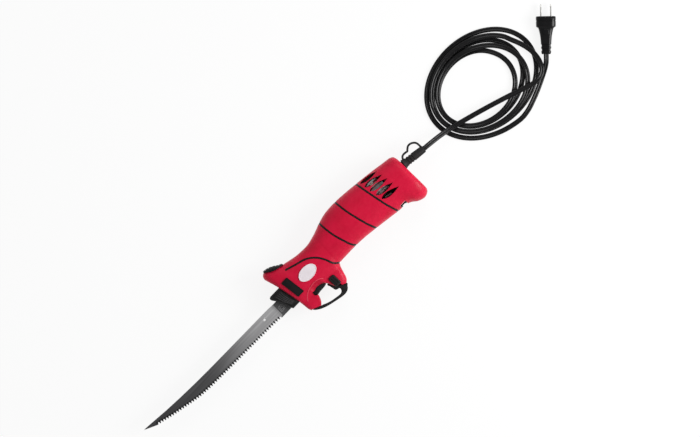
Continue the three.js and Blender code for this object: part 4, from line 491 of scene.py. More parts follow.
def closed_spline(rows, steps):
    """A closed smooth curve through rows."""
    rows = np.asarray(rows, float)
    around = np.vstack([rows[-2:], rows, rows[:3]])
    return spline_at(around, 2 + np.arange(len(rows) * steps) / steps)


def rounded(outline, radius, steps=5):
    """An outline with each corner rounded off."""
    corners = np.asarray(outline, float)
    points = []
    for i, corner in enumerate(corners):
        back = corners[i - 1] - corner
        ahead = corners[(i + 1) % len(corners)] - corner
        start = corner + back * min(CORNER_LIMIT, radius / np.linalg.norm(back))
        end = corner + ahead * min(CORNER_LIMIT, radius / np.linalg.norm(ahead))
        for share in np.linspace(0, 1, steps + 1):
            rest = 1 - share
            points.append(rest * rest * start + 2 * rest * share * corner + share * share * end)
    return np.array(points)


def rectangle(x0, x1, y0, y1):
    return np.array([[x0, y0], [x1, y0], [x1, y1], [x0, y1]], float)


def ellipse(x, y, half_length, half_height, count=96):
    angle = np.linspace(0, 2 * math.pi, count, endpoint=False)
    return np.column_stack([x + half_length * np.cos(angle), y + half_height * np.sin(angle)])


def anticlockwise(outline):
    outline = np.asarray(outline, float)
    ahead = np.roll(outline, -1, axis=0)
    area = np.sum(outline[:, 0] * ahead[:, 1] - outline[:, 1] * ahead[:, 0])
    return outline if area > 0 else outline[::-1]


def inset(outline, distance):
    """An anticlockwise outline moved inwards."""
    first = left_of(unit(outline - np.roll(outline, 1, axis=0)))
    second = left_of(unit(np.roll(outline, -1, axis=0) - outline))
    share = np.maximum(MITRE_LIMIT, 1 + np.sum(first * second, axis=1, keepdims=True))
    return outline + distance * (first + second) / share


def ribbon_outline(line, width, steps=8):
    """The outline of a strip of one width along a plan line."""
    points = spline(line, steps)
    side = left_of(unit(np.gradient(points, axis=0))) * width / 2
    return np.vstack([points + side, (points - side)[::-1]])


def leaf_outline(x0, y0, x1, y1, half_width, steps=28):
    """A leaf between two tips, widest before its middle."""
    run = np.array([[x1 - x0, y1 - y0]])
    share = np.linspace(0, 1, steps + 1)[:, None]
    width = half_width * np.sin(math.pi * share**VENT_POWER) * left_of(unit(run))
    middle = [x0, y0] + share * run
    return np.vstack([middle + width, (middle - width)[-2:0:-1]])


# Meshes, all in the drawing frame until they are finished


def add_object(name, data):
    obj = bpy.data.objects.new(name, data)
    bpy.context.collection.objects.link(obj)
    return obj


def loft(rings, strip_ends=False):
    """A solid through closed rings. strip_ends closes rings that mirror about their first point."""
    rings = np.asarray(rings, float)
    count, size = rings.shape[:2]
    faces = []
    for r in range(count - 1):
        for i in range(size):
            j = (i + 1) % size
            faces.append((r * size + i, r * size + j, (r + 1) * size + j, (r + 1) * size + i))
    for base in (0, (count - 1) * size):
        if strip_ends:
            for i in range(size // 2):
                around = [i, i + 1, (size - i - 1) % size, (size - i) % size]
                faces.append(tuple(dict.fromkeys(base + k for k in around)))
        else:
            faces.append(tuple(range(base, base + size)))
    mesh = bpy.data.meshes.new("draft")
    mesh.from_pydata(rings.reshape(-1, 3).tolist(), [], faces)
    shape = bmesh.new()
    shape.from_mesh(mesh)
    bmesh.ops.recalc_face_normals(shape, faces=shape.faces)
    shape.to_mesh(mesh)
    shape.free()
    return add_object("draft", mesh)


def level(outline, z):
    return np.column_stack([outline, np.full(len(outline), z)])


def prism(outline, z0=-FAR, z1=FAR):
    outline = np.asarray(outline, float)
    return loft([level(outline, z0), level(outline, z1)])


def rounded_prism(outline, z0, z1, radius, steps=4):
    """A prism whose top and bottom edges are rounded."""
    outline = anticlockwise(outline)
    turns = np.linspace(0, math.pi / 2, steps + 1)
    edge = [(radius * (1 - math.sin(turn)), radius * (1 - math.cos(turn))) for turn in turns]
    lower = [level(inset(outline, inwards), z0 + rise) for inwards, rise in edge]
    upper = [level(inset(outline, inwards), z1 - rise) for inwards, rise in edge[::-1]]
    return loft(lower + upper)


def block(x0, x1, y0, y1, z0=-FAR, z1=FAR):
    return prism(rectangle(x0, x1, y0, y1), z0, z1)


def pin(x, y, radius, z0=-FAR, z1=FAR, sides=28):
    return prism(ellipse(x, y, radius, radius, sides), z0, z1)


def turned(profile, centre, axis, sides=48):
    """A turned solid: profile lists the distance along the axis and the radius."""
    axis = unit(np.asarray(axis, float))
    helper = (0.0, 0.0, 1.0) if abs(axis[2]) < 0.9 else (1.0, 0.0, 0.0)
    side = unit(np.cross(helper, axis))
    other = np.cross(axis, side)
    angle = np.linspace(0, 2 * math.pi, sides, endpoint=False)[:, None]
    circle = np.cos(angle) * side + np.sin(angle) * other
    return loft([np.asarray(centre, float) + along * axis + radius * circle for along, radius in profile])


def swept(centres, section):
    """A section carried along centres, with its first axis kept level."""
    along = unit(np.gradient(centres, axis=0))
    side = unit(np.column_stack([left_of(along), np.zeros(len(along))]))
    up = np.cross(along, side)
    return loft([c + section[:, :1] * s + section[:, 1:] * u for c, s, u in zip(centres, side, up)])


def tube(centres, radius, sides=12):
    return swept(centres, ellipse(0, 0, radius, radius, sides))


def combine(base, tools, operation="DIFFERENCE"):
    """Cuts, joins or keeps what base shares with each tool, and removes the tools."""
    for tool in tools:
        modifier = base.modifiers.new("combine", "BOOLEAN")
        modifier.solver = "MANIFOLD"
        modifier.operation = operation
        modifier.material_mode = "TRANSFER"
        modifier.object = tool
    graph = bpy.context.evaluated_depsgraph_get()
    mesh = bpy.data.meshes.new_from_object(base.evaluated_get(graph))
    base.modifiers.clear()
    spent = [base.data, *(tool.data for tool in tools)]
    base.data = mesh
    for tool in tools:
        bpy.data.objects.remove(tool)
    for old in spent:
        bpy.data.meshes.remove(old)
    return base


def twin(obj):
    copy = obj.copy()
    copy.data = obj.data.copy()
    bpy.context.collection.objects.link(copy)
    return copy


def mirrored(obj):
    """The same shape on the other side of the joint plane."""
    copy = twin(obj)
    copy.data.transform(Matrix.Scale(-1, 4, Vector((0, 0, 1))))
    copy.data.flip_normals()
    return copy


def painted(obj, material):
    obj.data.materials.append(material)
    return obj


def finish_piece(obj, name, material=None, nodes=(), body="handle", crease=32):
    """Names a shape, moves it to the row frame, paints it and lets it ride on a body."""
    obj.name = name
    mesh = obj.data
    mesh.name = name
    mesh.transform(TO_ROW)
    if material:
        mesh.materials.clear()
        mesh.materials.append(material)
    mesh.shade_smooth()
    mesh.set_sharp_from_angle(angle=math.radians(crease))
    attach(obj, body)
    if nodes:
        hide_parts(*nodes)


# Materials


def wired(owner, node, inputs):
    """Sets a shader node's inputs to values, or links them to other nodes, and gives its outputs."""
    for socket, value in inputs.items():
        if isinstance(value, bpy.types.NodeSocket):
            owner.node_tree.links.new(value, node.inputs[socket])
        else:
            node.inputs[socket].default_value = value
    return node.outputs


def add_node(owner, kind, inputs):
    return wired(owner, owner.node_tree.nodes.new(kind), inputs)


def feed(material, inputs):
    wired(material, material.node_tree.nodes["Principled BSDF"], inputs)


def new_material(name, color, roughness, metallic=0.0, specular=0.5):
    material = bpy.data.materials.new(name)
    material.use_nodes = True
    feed(material, {"Base Color": (*color, 1.0), "Roughness": roughness})
    feed(material, {"Metallic": metallic, "Specular IOR Level": specular})
    return material


def noise(material, scale, detail, stretch=(1.0, 1.0, 1.0)):
    """A noise value in object space, with its scale in waves per metre."""
    place = add_node(material, "ShaderNodeTexCoord", {})["Object"]
    stretched = add_node(material, "ShaderNodeMapping", {"Vector": place, "Scale": stretch})["Vector"]
    inputs = {"Vector": stretched, "Scale": scale, "Detail": detail}
    return add_node(material, "ShaderNodeTexNoise", inputs)["Fac"]


def spread(owner, value, start, end, interpolation="LINEAR"):
    """Maps a value from one range of numbers onto another."""
    node = owner.node_tree.nodes.new("ShaderNodeMapRange")
    node.interpolation_type = interpolation
    limits = {"From Min": start[0], "From Max": start[1], "To Min": end[0], "To Max": end[1]}
    return wired(owner, node, {"Value": value, **limits})["Result"]


def mixed(material, factor, first, second):
    """Mixes two colours by a factor; each one is a colour or an output."""
    node = material.node_tree.nodes.new("ShaderNodeMix")
    node.data_type = "RGBA"
    first, second = ((*color, 1.0) if isinstance(color, tuple) else color for color in (first, second))
    return wired(material, node, {"Factor": factor, "A": first, "B": second})["Result"]


def surfaced(material, color, gloss, roughness, grain, strength, height):
    """Gives a material its colour, roughness that follows one pattern and relief that follows another."""
    bump = {"Height": grain, "Strength": strength, "Distance": height}
    inputs = {
        "Base Color": color,
        "Roughness": spread(material, gloss, NOISE_RANGE, roughness),
        "Normal": add_node(material, "ShaderNodeBump", bump)["Normal"],
    }
    feed(material, inputs)
    return material


def moulded(name, dark, light, roughness, grain, specular=0.5):
    """Moulded plastic or rubber: slightly uneven colour and gloss over a fine grain."""
    material = new_material(name, light, roughness[0], specular=specular)
    patches = spread(material, noise(material, PATCH_WAVES, 4), NOISE_RANGE, (0, 1))
    color = mixed(material, patches, dark, light)
    gloss = noise(material, GLOSS_WAVES, 5)
    return surfaced(material, color, gloss, roughness, noise(material, GRAIN_WAVES, 2), grain, GRAIN_HEIGHT)


def brushed(name, dark, light, roughness, stretch):
    """Metal with fine lines along its grain."""
    material = new_material(name, light, roughness[0], metallic=1.0)
    lines = noise(material, BRUSH_WAVES, 4, stretch)
    color = mixed(material, spread(material, lines, NOISE_RANGE, (0, 1)), dark, light)
    return surfaced(material, color, lines, roughness, lines, BRUSH_STRENGTH, LINE_HEIGHT)


def along_x(material, start, end):
    """A value from 0 to 1 along x, between two places in the drawing frame."""
    place = add_node(material, "ShaderNodeTexCoord", {})["Object"]
    x = add_node(material, "ShaderNodeSeparateXYZ", {"Vector": place})["X"]
    return spread(material, x, (ORIGIN.x + start * MM, ORIGIN.x + end * MM), (0, 1), "SMOOTHSTEP")


def blade_material():
    """Ground steel with a painted reflection in its colour: pale near the hilt, dark towards the tip as if
    it mirrored a dark room there.
    """
    material = new_material("blade steel", BLADE_COLOR, BLADE_ROUGHNESS[0], metallic=1.0)
    lines = noise(material, BLADE_WAVES, 5, BLADE_STRETCH)
    streaks = spread(material, lines, NOISE_RANGE, (0, 1))
    near, middle, far = (mixed(material, streaks, *tones) for tones in BLADE_REFLECTION_TONES)
    outer = mixed(material, along_x(material, *FAR_FADE), far, middle)
    color = mixed(material, along_x(material, *NEAR_FADE), outer, near)
    return surfaced(material, color, lines, BLADE_ROUGHNESS, lines, BLADE_STRENGTH, LINE_HEIGHT)


# Plastics: darker and lighter colour, range of roughness, strength of the grain and specular level
RED = moulded("red plastic", (0.55, 0.0028, 0.032), (0.64, 0.0042, 0.042), (0.32, 0.54), 0.3, 0.22)
# Darker red for the rounded rim of the finger hole: painted shade on the slope into the hole
RED_WITH_PAINTED_SHADE = moulded(
    "shaded red plastic", (0.46, 0.0025, 0.027), (0.55, 0.0037, 0.036), (0.34, 0.5), 0.3, 0.2
)
# Glossier, paler red for the crest bead round the finger hole: the gloss is real, the paler colour is a
# painted highlight
RED_WITH_PAINTED_HIGHLIGHT = moulded("glossy red plastic with painted highlight", (0.66, 0.045, 0.085), (0.76, 0.065, 0.11), (0.24, 0.36), 0.2)
# Near-black for the inside of the housing and the motor cradle: painted shade
PAINTED_SHADE_INSIDE = moulded("shaded inside", (0.004, 0.003, 0.003), (0.009, 0.006, 0.006), (0.7, 0.85), 0.2, 0.2)
BLACK = moulded("black plastic", (0.005, 0.0048, 0.0053), (0.0095, 0.0091, 0.01), (0.32, 0.46), 0.35, 0.4)
TRIM = moulded("black inlay", (0.004, 0.0039, 0.0042), (0.008, 0.0077, 0.0083), (0.42, 0.56), 0.3, 0.22)
SOFT = moulded("soft black", (0.003, 0.0029, 0.0032), (0.0055, 0.0053, 0.0057), (0.5, 0.66), 0.6, 0.16)
VINYL = moulded("black vinyl", (0.003, 0.0028, 0.0032), (0.0055, 0.0052, 0.0058), (0.16, 0.26), 0.25, 0.26)
BOOT = moulded("charcoal rubber", (0.009, 0.0088, 0.0093), (0.017, 0.0166, 0.0174), (0.5, 0.66), 0.5, 0.25)
GREY = moulded("grey plastic", (0.068, 0.067, 0.07), (0.092, 0.091, 0.095), (0.38, 0.5), 0.4)
LIGHT_GREY = moulded("light grey plastic", (0.24, 0.238, 0.243), (0.3, 0.298, 0.303), (0.35, 0.48), 0.3)
# Lighter black for the ridges of the release buttons: a painted highlight
RIDGE_HIGHLIGHT = moulded("black plastic with painted highlight", (0.022, 0.0215, 0.0225), (0.034, 0.0335, 0.035), (0.3, 0.42), 0.3)
PALE = moulded("pale plate", (0.77, 0.70, 0.74), (0.87, 0.81, 0.845), (0.3, 0.42), 0.1)
NYLON = moulded("natural nylon", (0.62, 0.58, 0.47), (0.74, 0.70, 0.59), (0.45, 0.6), 0.2)
FERRITE = moulded("ferrite", (0.018, 0.018, 0.019), (0.035, 0.035, 0.037), (0.7, 0.85), 0.7)
LAMINATE = moulded("green laminate", (0.015, 0.10, 0.03), (0.03, 0.16, 0.05), (0.35, 0.5), 0.2)
HOLDER = moulded("brush holder", (0.27, 0.25, 0.22), (0.40, 0.37, 0.33), (0.4, 0.55), 0.2)

# Metals: darker and lighter colour, range of roughness, and how the lines are stretched
BLADE = blade_material()
# Near-black steel for the gullets and hollows of the teeth: the rougher grind is real, the dark colour is
# painted shade
STEEL_WITH_PAINTED_SHADE = brushed("steel with painted shade", (0.02, 0.0195, 0.0205), (0.036, 0.0355, 0.037), (0.4, 0.55), (1, 1, 0.1))
CAN_STEEL = brushed("zinc plate", (0.30, 0.295, 0.295), (0.40, 0.395, 0.395), (0.2, 0.32), (1, 0.2, 0.2))
STEEL = brushed("plain steel", (0.42, 0.43, 0.44), (0.58, 0.59, 0.60), (0.26, 0.4), (0.06, 1, 1))
RIVET_STEEL = brushed("rivet steel", (0.84, 0.84, 0.84), (0.94, 0.94, 0.94), (0.6, 0.72), (1, 1, 1))
NICKEL = brushed("nickel plate", (0.62, 0.61, 0.58), (0.76, 0.75, 0.72), (0.16, 0.3), (0.3, 0.3, 1))
COPPER = brushed("wound copper", (0.42, 0.16, 0.07), (0.66, 0.29, 0.14), (0.3, 0.45), (0.1, 1, 1))
BRONZE = brushed("sintered bronze", (0.45, 0.31, 0.11), (0.60, 0.43, 0.17), (0.4, 0.55), (1, 1, 1))


# Handle body


def roundness(place, exponent):
    return np.maximum(0, 1 - np.abs(place) ** exponent) ** (1 / exponent)


def body_solid(offset, lobed=True):
    """The body grown by an offset. Its rings run from the keel over the left side to the spine and back."""
    rows = np.asarray(SECTIONS, float)
    places = []
    for k, gap in enumerate(np.diff(rows, axis=0)):
        count = math.ceil(max(np.hypot(*gap[:2]), np.hypot(*gap[2:4])) / STATION_STEP)
        places.extend(k + np.arange(count) / count)
    places.append(len(rows) - 1)
    at = spline_at(rows, np.array(places))
    spine = at[:, 0:2]
    keel = at[:, 2:4]
    belly_y, half, lobe, bow = np.split(at[:, 4:], 4, axis=1)
    length = np.linalg.norm(spine - keel, axis=1)[:, None]
    run = (spine - keel) / length
    belly = np.maximum(0, (belly_y - keel[:, 1:]) / (spine[:, 1:] - keel[:, 1:])) * length
    main_start = belly - offset
    start = np.full_like(belly, -offset) if lobed else main_start
    end = length + offset
    half = np.minimum(half, HALF_THICKNESS) + offset
    lobe = np.where(lobe > LEAST_LOBE, lobe + offset, 0) if lobed else np.zeros_like(belly)
    share = (1 - np.cos(math.pi * np.arange(SIDE_POINTS) / (SIDE_POINTS - 1)))[None, :] / 2
    rise = start + (end - start) * share
    place = (rise - main_start) / (end - main_start)
    main = np.where(place > 0, half * np.minimum(1, FLAT_GAIN * roundness(2 * place - 1, SIDE_EXPONENT)), 0)
    low = np.maximum(0, lobe) * roundness(2 * (rise + offset) / (length + 2 * offset) - 1, LOBE_EXPONENT)
    z = (main**BLEND_EXPONENT + low**BLEND_EXPONENT) ** (1 / BLEND_EXPONENT)
    z[:, [0, -1]] = 0
    x = keel[:, :1] + run[:, :1] * rise + bow * (1 - (2 * share - 1) ** 2)
    upper = np.dstack([x, keel[:, 1:] + run[:, 1:] * rise, z])
    lower = upper[:, -2:0:-1] * [1, 1, -1]
    return loft(np.concatenate([upper, lower], axis=1), strip_ends=True)


def skin(outer, inner):
    """The layer between two offsets of the body."""
    return combine(body_solid(outer), [body_solid(inner)])


def inlaid(outline, outer, inner, z0=-FAR, z1=FAR):
    """What a prism shares with a layer of the body."""
    return combine(prism(outline, z0, z1), [skin(outer, inner)], "INTERSECT")


def finger_rim(side):
    """What the rounded rim of the finger hole takes away on one side."""
    wall = np.vstack([spline(FINGER_WALL, WALL_STEPS), RIM_CLOSING])
    along = np.roll(wall, -1, axis=0) - np.roll(wall, 1, axis=0)
    outward = left_of(unit(along[:, :2])) * wall[:, 2:]
    levels = [(RIM_ROOT_Z, 0.0)]
    for share in np.linspace(0, RIM_LAST_SHARE, RIM_LEVELS):
        levels.append((RIM_START_Z + (RIM_END_Z - RIM_START_Z) * share, 1 - math.sqrt(1 - share * share)))
    levels.append(RIM_FLARE)
    return loft([level(wall[:, :2] + outward * share, side * z) for z, share in levels])


def groove_cut(line, width, depth):
    return combine(prism(ribbon_outline(line, width)), [body_solid(-depth)])


def cavity_solid():
    inner = body_solid(-WALL, lobed=False)
    combine(inner, [block(*CAVITY_X, -FAR, FAR)], "INTERSECT")
    return combine(inner, [block(*stop) for stop in CAVITY_STOPS])


def lock_outline(steps=5):
    return rounded(rectangle(*LOCK_BUTTON), LOCK_CORNER, steps)


def lock_way():
    """What lets the lock button into the handle."""
    return prism(inset(anticlockwise(lock_outline()), -GAP), LOCK_FLOOR_Z)


def housing():
    """Both halves of the housing as one hollow solid."""
    shell = painted(body_solid(0), RED)
    # The cut-away inside of the housing is near-black as painted shade
    combine(shell, [painted(cavity_solid(), PAINTED_SHADE_INSIDE)])
    for x, y, _ in SCREWS:
        boss = combine(pin(x, y, BOSS_RADIUS), [body_solid(-WALL / 2, lobed=False)], "INTERSECT")
        combine(shell, [painted(boss, RED)], "UNION")
    below = np.vstack([BELOW_START, spline(FINGER_WALL, WALL_STEPS)[WALL_STEPS:, :2], BELOW_END])
    cuts = [
        prism(below),
        prism(TRIGGER_POCKET, -TRIGGER_POCKET_HALF, TRIGGER_POCKET_HALF),
        prism(TRIGGER_RECESS),
        prism(np.vstack([spline(THUMB_LINE, WALL_STEPS), THUMB_TOP])),
        block(*COLLAR_POCKET),
        block(*TANG_POCKET),
        lock_way(),
        block(*LOCK_MOUTH),
        block(*NOTCH, -FAR, NOTCH_TOP),
        turned(RELIEF_HOLE, RELIEF_CENTRE, RELIEF_AXIS),
    ]
    for vent in VENTS:
        cuts.append(prism(leaf_outline(*vent), VENT_START_Z))
        cuts.append(prism(leaf_outline(*vent), -FAR, -VENT_START_Z))
    for line in [*BAND_LINES.values(), ACCENT_LINE]:
        cuts.append(groove_cut(line, GROOVE_WIDTH, GROOVE_DEPTH))
    for x, y, tip in SCREWS:
        cuts.append(pin(x, y, SCREW_HEAD_HOLE, -FAR, SCREW_SEAT_Z))
        cuts.append(pin(x, y, SCREW_SHANK_HOLE, SCREW_SEAT_Z - 1, tip))
    # The rounded rims of the finger hole take a darker red as painted shade
    rims = [painted(finger_rim(side), RED_WITH_PAINTED_SHADE) for side in (1, -1)]
    return combine(shell, rims + [painted(cut, RED) for cut in cuts])


whole = housing()
other_half = twin(whole)
HALVES = [("left", whole, (PARTING_GAP, FAR)), ("right", other_half, (-FAR, -PARTING_GAP))]
for hand, shell, heights in HALVES:
    combine(shell, [block(*HALF_SPACE, *heights)], "INTERSECT")
    finish_piece(shell, f"{hand}_shell", nodes=[f"{hand}_housing"])

# Inlays and plates

for place, line in BAND_LINES.items():
    band = inlaid(ribbon_outline(line, BAND_WIDTH), *BAND_SKIN)
    finish_piece(band, f"{place}_inlay", TRIM, [f"grip_band_{place}"])
for hand, heights in (("left", (ACCENT_START_Z, FAR)), ("right", (-FAR, -ACCENT_START_Z))):
    line = inlaid(ribbon_outline(ACCENT_LINE[:-1], BAND_WIDTH), *BAND_SKIN, *heights)
    finish_piece(line, f"{hand}_curved_inlay", TRIM, [f"{hand}_accent_line"])
# A thin raised bead along the crest of the finger hole's rim, paler than the housing as a painted highlight
crest = inlaid(ribbon_outline(RIM_CREST, CREST_WIDTH), *CREST_SKIN, PLATE_START_Z)
finish_piece(crest, "finger_hole_crest", RED_WITH_PAINTED_HIGHLIGHT)


def rimmed_plate(name, outline, hollow, plate_skin, rim_skin, slot, material, node):
    """A thin plate on the left side, and a rim that stands above it."""
    plate = inlaid(outline, *plate_skin, PLATE_START_Z)
    finish_piece(plate, f"{name}_plate", material, [node])
    rim = combine(prism(outline, PLATE_START_Z), [prism(hollow, PLATE_START_Z - 1, FAR + 1)])
    combine(rim, [skin(*rim_skin)], "INTERSECT")
    finish_piece(rim, f"{name}_rim", material)


badge = ellipse(*BADGE)
rimmed_plate("badge", badge, ellipse(*BADGE_HOLLOW), *BADGE_SKINS, "badge", PALE, "oval_badge")
label = anticlockwise(rounded(LABEL_OUTLINE, LABEL_CORNER))
rimmed_plate("label", label, inset(label, LABEL_RIM_WIDTH), *LABEL_SKINS, "trim", TRIM, "side_label")


def thumb_pad():
    """Ribbed pad on the horn, let into the housing."""
    outline = np.vstack([spline(THUMB_LINE, WALL_STEPS) - [0, GAP], THUMB_TOP])
    pad = combine(prism(outline), [body_solid(THUMB_RISE), block(*THUMB_LIMIT)], "INTERSECT")
    spine = spline_at(np.asarray(SECTIONS)[:, :2], np.arange(*THUMB_GROOVES))
    cuts = []
    for point, normal in zip(spine, left_of(unit(np.gradient(spine, axis=0)))):
        line = [point - THUMB_REACH[0] * normal, point + THUMB_REACH[1] * normal]
        cuts.append(groove_cut(line, THUMB_GROOVE_WIDTH, -THUMB_FLOOR))
    return combine(pad, cuts)


finish_piece(thumb_pad(), "thumb_pad", SOFT, ["thumb_rest"])

guard_outline = inset(anticlockwise(closed_spline(GUARD_OUTLINE, 4)), -GUARD_GROWTH)
guard = rounded_prism(guard_outline, -GUARD_HALF, GUARD_HALF, GUARD_EDGE, 3)
combine(guard, [lock_way()])
finish_piece(guard, "guard_bar", BLACK, ["trigger_guard"])

trigger = rounded_prism(closed_spline(TRIGGER_OUTLINE, 5), -TRIGGER_HALF, TRIGGER_HALF, KEY_EDGE)
combine(trigger, [pin(*TRIGGER_PIVOT, TRIGGER_PIVOT_RADIUS)])
finish_piece(trigger, "trigger_lever", BLACK, ["trigger"], "trigger")

lock = rounded_prism(lock_outline(8), *LOCK_Z, KEY_EDGE, 6)
combine(lock, [block(x, x + LOCK_LINE_WIDTH, *LOCK_LINE_Y, LOCK_LINE_FLOOR) for x in LOCK_LINES])
finish_piece(lock, "lock_key", BLACK, ["lock_button"], "lock_button")

liner_outline = rectangle(NOTCH[0] + GAP, NOTCH[1] - GAP, LINER_END_Y, NOTCH_TOP - GAP)
liner = rounded_prism(liner_outline, -LINER_HALF, LINER_HALF, LINER_EDGE, 2)
combine(liner, [block(NOTCH[0] + LINER_WALL, NOTCH[1] - LINER_WALL, -FAR, NOTCH_TOP - LINER_WALL)])
finish_piece(liner, "notch_lining", BLACK, ["notch_liner"])


def screw_solid(x, y, tip):
    """Round-headed screw with a cross recess, its head towards the right side."""
    top = SCREW_SEAT_Z - GAP - SCREW_HEAD[-1][0]
    profile = [[top + rise, radius] for rise, radius in SCREW_HEAD]
    profile += [[tip - back, radius] for back, radius in SCREW_TIP]
    screw = turned(profile, (x, y, 0), (0, 0, 1), 32)
    reach, half, depth = SCREW_RECESS
    arms = []
    for across, up in ((reach, half), (half, reach)):
        arms.append(block(x - across, x + across, y - up, y + up, top - 1, top + depth))
    return combine(screw, arms)


for number, screw in enumerate(SCREWS, 1):
    finish_piece(screw_solid(*screw), f"screw_{number}", STEEL, [f"housing_screw_{number}"])


# Blade end


def tooth_places():
    """Middle of each gullet on the edge, and the direction along the edge there."""
    edge = spline(TOOTH_TIPS, 40)
    run = np.concatenate([[0], np.cumsum(np.linalg.norm(np.diff(edge, axis=0), axis=1))])
    wanted = run[-1] * (np.arange(TOOTH_COUNT) + FIRST_GULLET) / TOOTH_COUNT
    points, ahead = (
        np.column_stack([np.interp(places, run, edge[:, k]) for k in range(2)])
        for places in (wanted, wanted + 0.5)
    )
    return points, unit(ahead - points)


def gullet_outline():
    """Half-round bottom and slanting sides of a gullet: along the edge, and into the blade."""
    angle = np.linspace(GULLET_ARC * math.pi, (1 - GULLET_ARC) * math.pi, 9)
    floor = np.column_stack([np.cos(angle), np.sin(angle) - 1]) * GULLET_RADIUS + [0, TOOTH_DEPTH]
    return np.vstack([floor, GULLET_SIDES])


def blade_plate(side):
    """One blade with its gullets, and a hollow ground into its outer face at the root of each tooth."""
    edge = spline(TOOTH_TIPS, 12)
    tip = spline([TOOTH_TIPS[-1], *BLADE_TIP], 4)[1:]
    outline = np.vstack([edge, tip, BLADE_SPINE, BLADE_TANG])
    plate = painted(rounded_prism(outline, BLADE_INNER_Z, BLADE_OUTER_Z, BLADE_EDGE, 2), BLADE)
    points, along = tooth_places()
    pitch = np.linalg.norm(points[1] - points[0])
    hollow = ellipse(pitch / 2, *HOLLOW, 14)
    # Gullets and hollows are cut with the near-black steel as painted shade
    cuts = []
    for point, ahead, outwards in zip(points, along, left_of(along)):
        for shape, start in ((gullet_outline(), CUT_Z[0]), (hollow, HOLLOW_Z)):
            cut = prism(point + shape[:, :1] * ahead - shape[:, 1:] * outwards, start, CUT_Z[1])
            cuts.append(painted(cut, STEEL_WITH_PAINTED_SHADE))
    combine(plate, cuts)
    # Steep faces of the teeth take the near-black steel too: painted shade
    dark = plate.data.materials.find(STEEL_WITH_PAINTED_SHADE.name)
    for face in plate.data.polygons:
        if abs(face.normal.z) < STEEP:
            face.material_index = dark
    half = RIVET_RADIUS + GAP
    if side < 0:
        flipped = mirrored(plate)
        bpy.data.objects.remove(plate)
        plate = flipped
        reach = RIVET_SLOT_HALF + half
        slot = rectangle(RIVET[0] - reach, RIVET[0] + reach, RIVET[1] - half, RIVET[1] + half)
        opening = prism(rounded(slot, half))
    else:
        opening = pin(*RIVET, half)
    return combine(plate, [painted(opening, BLADE)])


for hand, name, side in (("left", "upper_blade", 1), ("right", "lower_blade", -1)):
    node = f"{hand}_blade"
    finish_piece(blade_plate(side), name, nodes=[node], body=node, crease=25)
rivet = turned(RIVET_PROFILE, (*RIVET, 0), (0, 0, 1), 32)
finish_piece(rivet, "rivet_pin", RIVET_STEEL, ["blade_rivet"], "left_blade")


def square_frame(half, bar):
    """A plain raised square frame on the face of a hub."""
    x, y = HUB_MARK
    outer, inner = (
        rounded(rectangle(x - reach, x + reach, y - reach, y + reach), corner, 3)
        for reach, corner in zip((half, half - bar), FRAME_CORNERS)
    )
    return combine(rounded_prism(outer, *FRAME_Z, FRAME_EDGE, 2), [prism(inner, 0)])


shoulder = rounded(SHOULDER_OUTLINE, SHOULDER_CORNER)
left_shoulder = rounded_prism(shoulder, BLADE_OUTER_Z + GAP, SHOULDER_TOP_Z, SHOULDER_EDGE)
left_frame = combine(square_frame(*OUTER_FRAME), [square_frame(*INNER_FRAME)], "UNION")
HUBS = [("left", left_shoulder, left_frame), ("right", mirrored(left_shoulder), mirrored(left_frame))]
for hand, hub, mark in HUBS:
    body = f"{hand}_blade"
    finish_piece(hub, f"{hand}_hub", GREY, [f"{hand}_blade_shoulder"], body)
    finish_piece(mark, f"{hand}_hub_mark", LIGHT_GREY, body=body)


def collar():
    front = spline(COLLAR_OUTLINE[1:-1], 5)
    outline = np.vstack([[COLLAR_OUTLINE[0]], front, [COLLAR_OUTLINE[-1]]])
    ring = rounded_prism(outline, -COLLAR_HALF, COLLAR_HALF, COLLAR_EDGE, 5)
    pocket = inset(anticlockwise(rounded(BUTTON_OUTLINE, BUTTON_CORNER)), -BUTTON_PLAY)
    cuts = [
        block(*COLLAR_BORE),
        block(*COLLAR_REAR),
        prism(pocket, BUTTON_POCKET_Z),
        prism(pocket, -FAR, -BUTTON_POCKET_Z),
    ]
    return combine(ring, cuts)


finish_piece(collar(), "front_collar", BLACK, ["blade_collar"])


def release_button():
    """Side plate of the collar with curved finger ridges."""
    outline = rounded(BUTTON_OUTLINE, BUTTON_CORNER)
    plate = painted(rounded_prism(outline, BUTTON_BASE_Z, BUTTON_TOP_Z, BUTTON_EDGE, 3), BLACK)
    upper, lower = RIDGE_Y
    ridges = []
    for x0, x1 in BUTTON_RIDGES:
        middle = [(x0 + x1) / 2 - RIDGE_BOW, (upper + lower) / 2]
        line = spline([[x0, upper], middle, [x1, lower]], 8)
        # The ridges are lighter than the plate as a painted highlight
        ridges.append(painted(tube(level(line, BUTTON_TOP_Z), RIDGE_RADIUS, 18), RIDGE_HIGHLIGHT))
    return combine(plate, ridges, "UNION")


left_button = release_button()
for hand, button in (("left", left_button), ("right", mirrored(left_button))):
    name = f"{hand}_release_button"
    finish_piece(button, f"{hand}_release_plate", nodes=[name], body=name)


# Motor and wires inside the handle


def on_shaft(profile, sides=72):
    """A solid turned about the motor's shaft."""
    return turned(profile, (0, MOTOR_Y, 0), (1, 0, 0), sides)


can = combine(on_shaft(CAN_PROFILE), [on_shaft(CAN_BORE)])
finish_piece(can, "motor_shell", CAN_STEEL, ["motor_can"])
cap = combine(on_shaft(CAP_PROFILE), [on_shaft(CAP_BORE, 48)])
finish_piece(cap, "motor_end_bell", BLACK, ["motor_end_cap"])

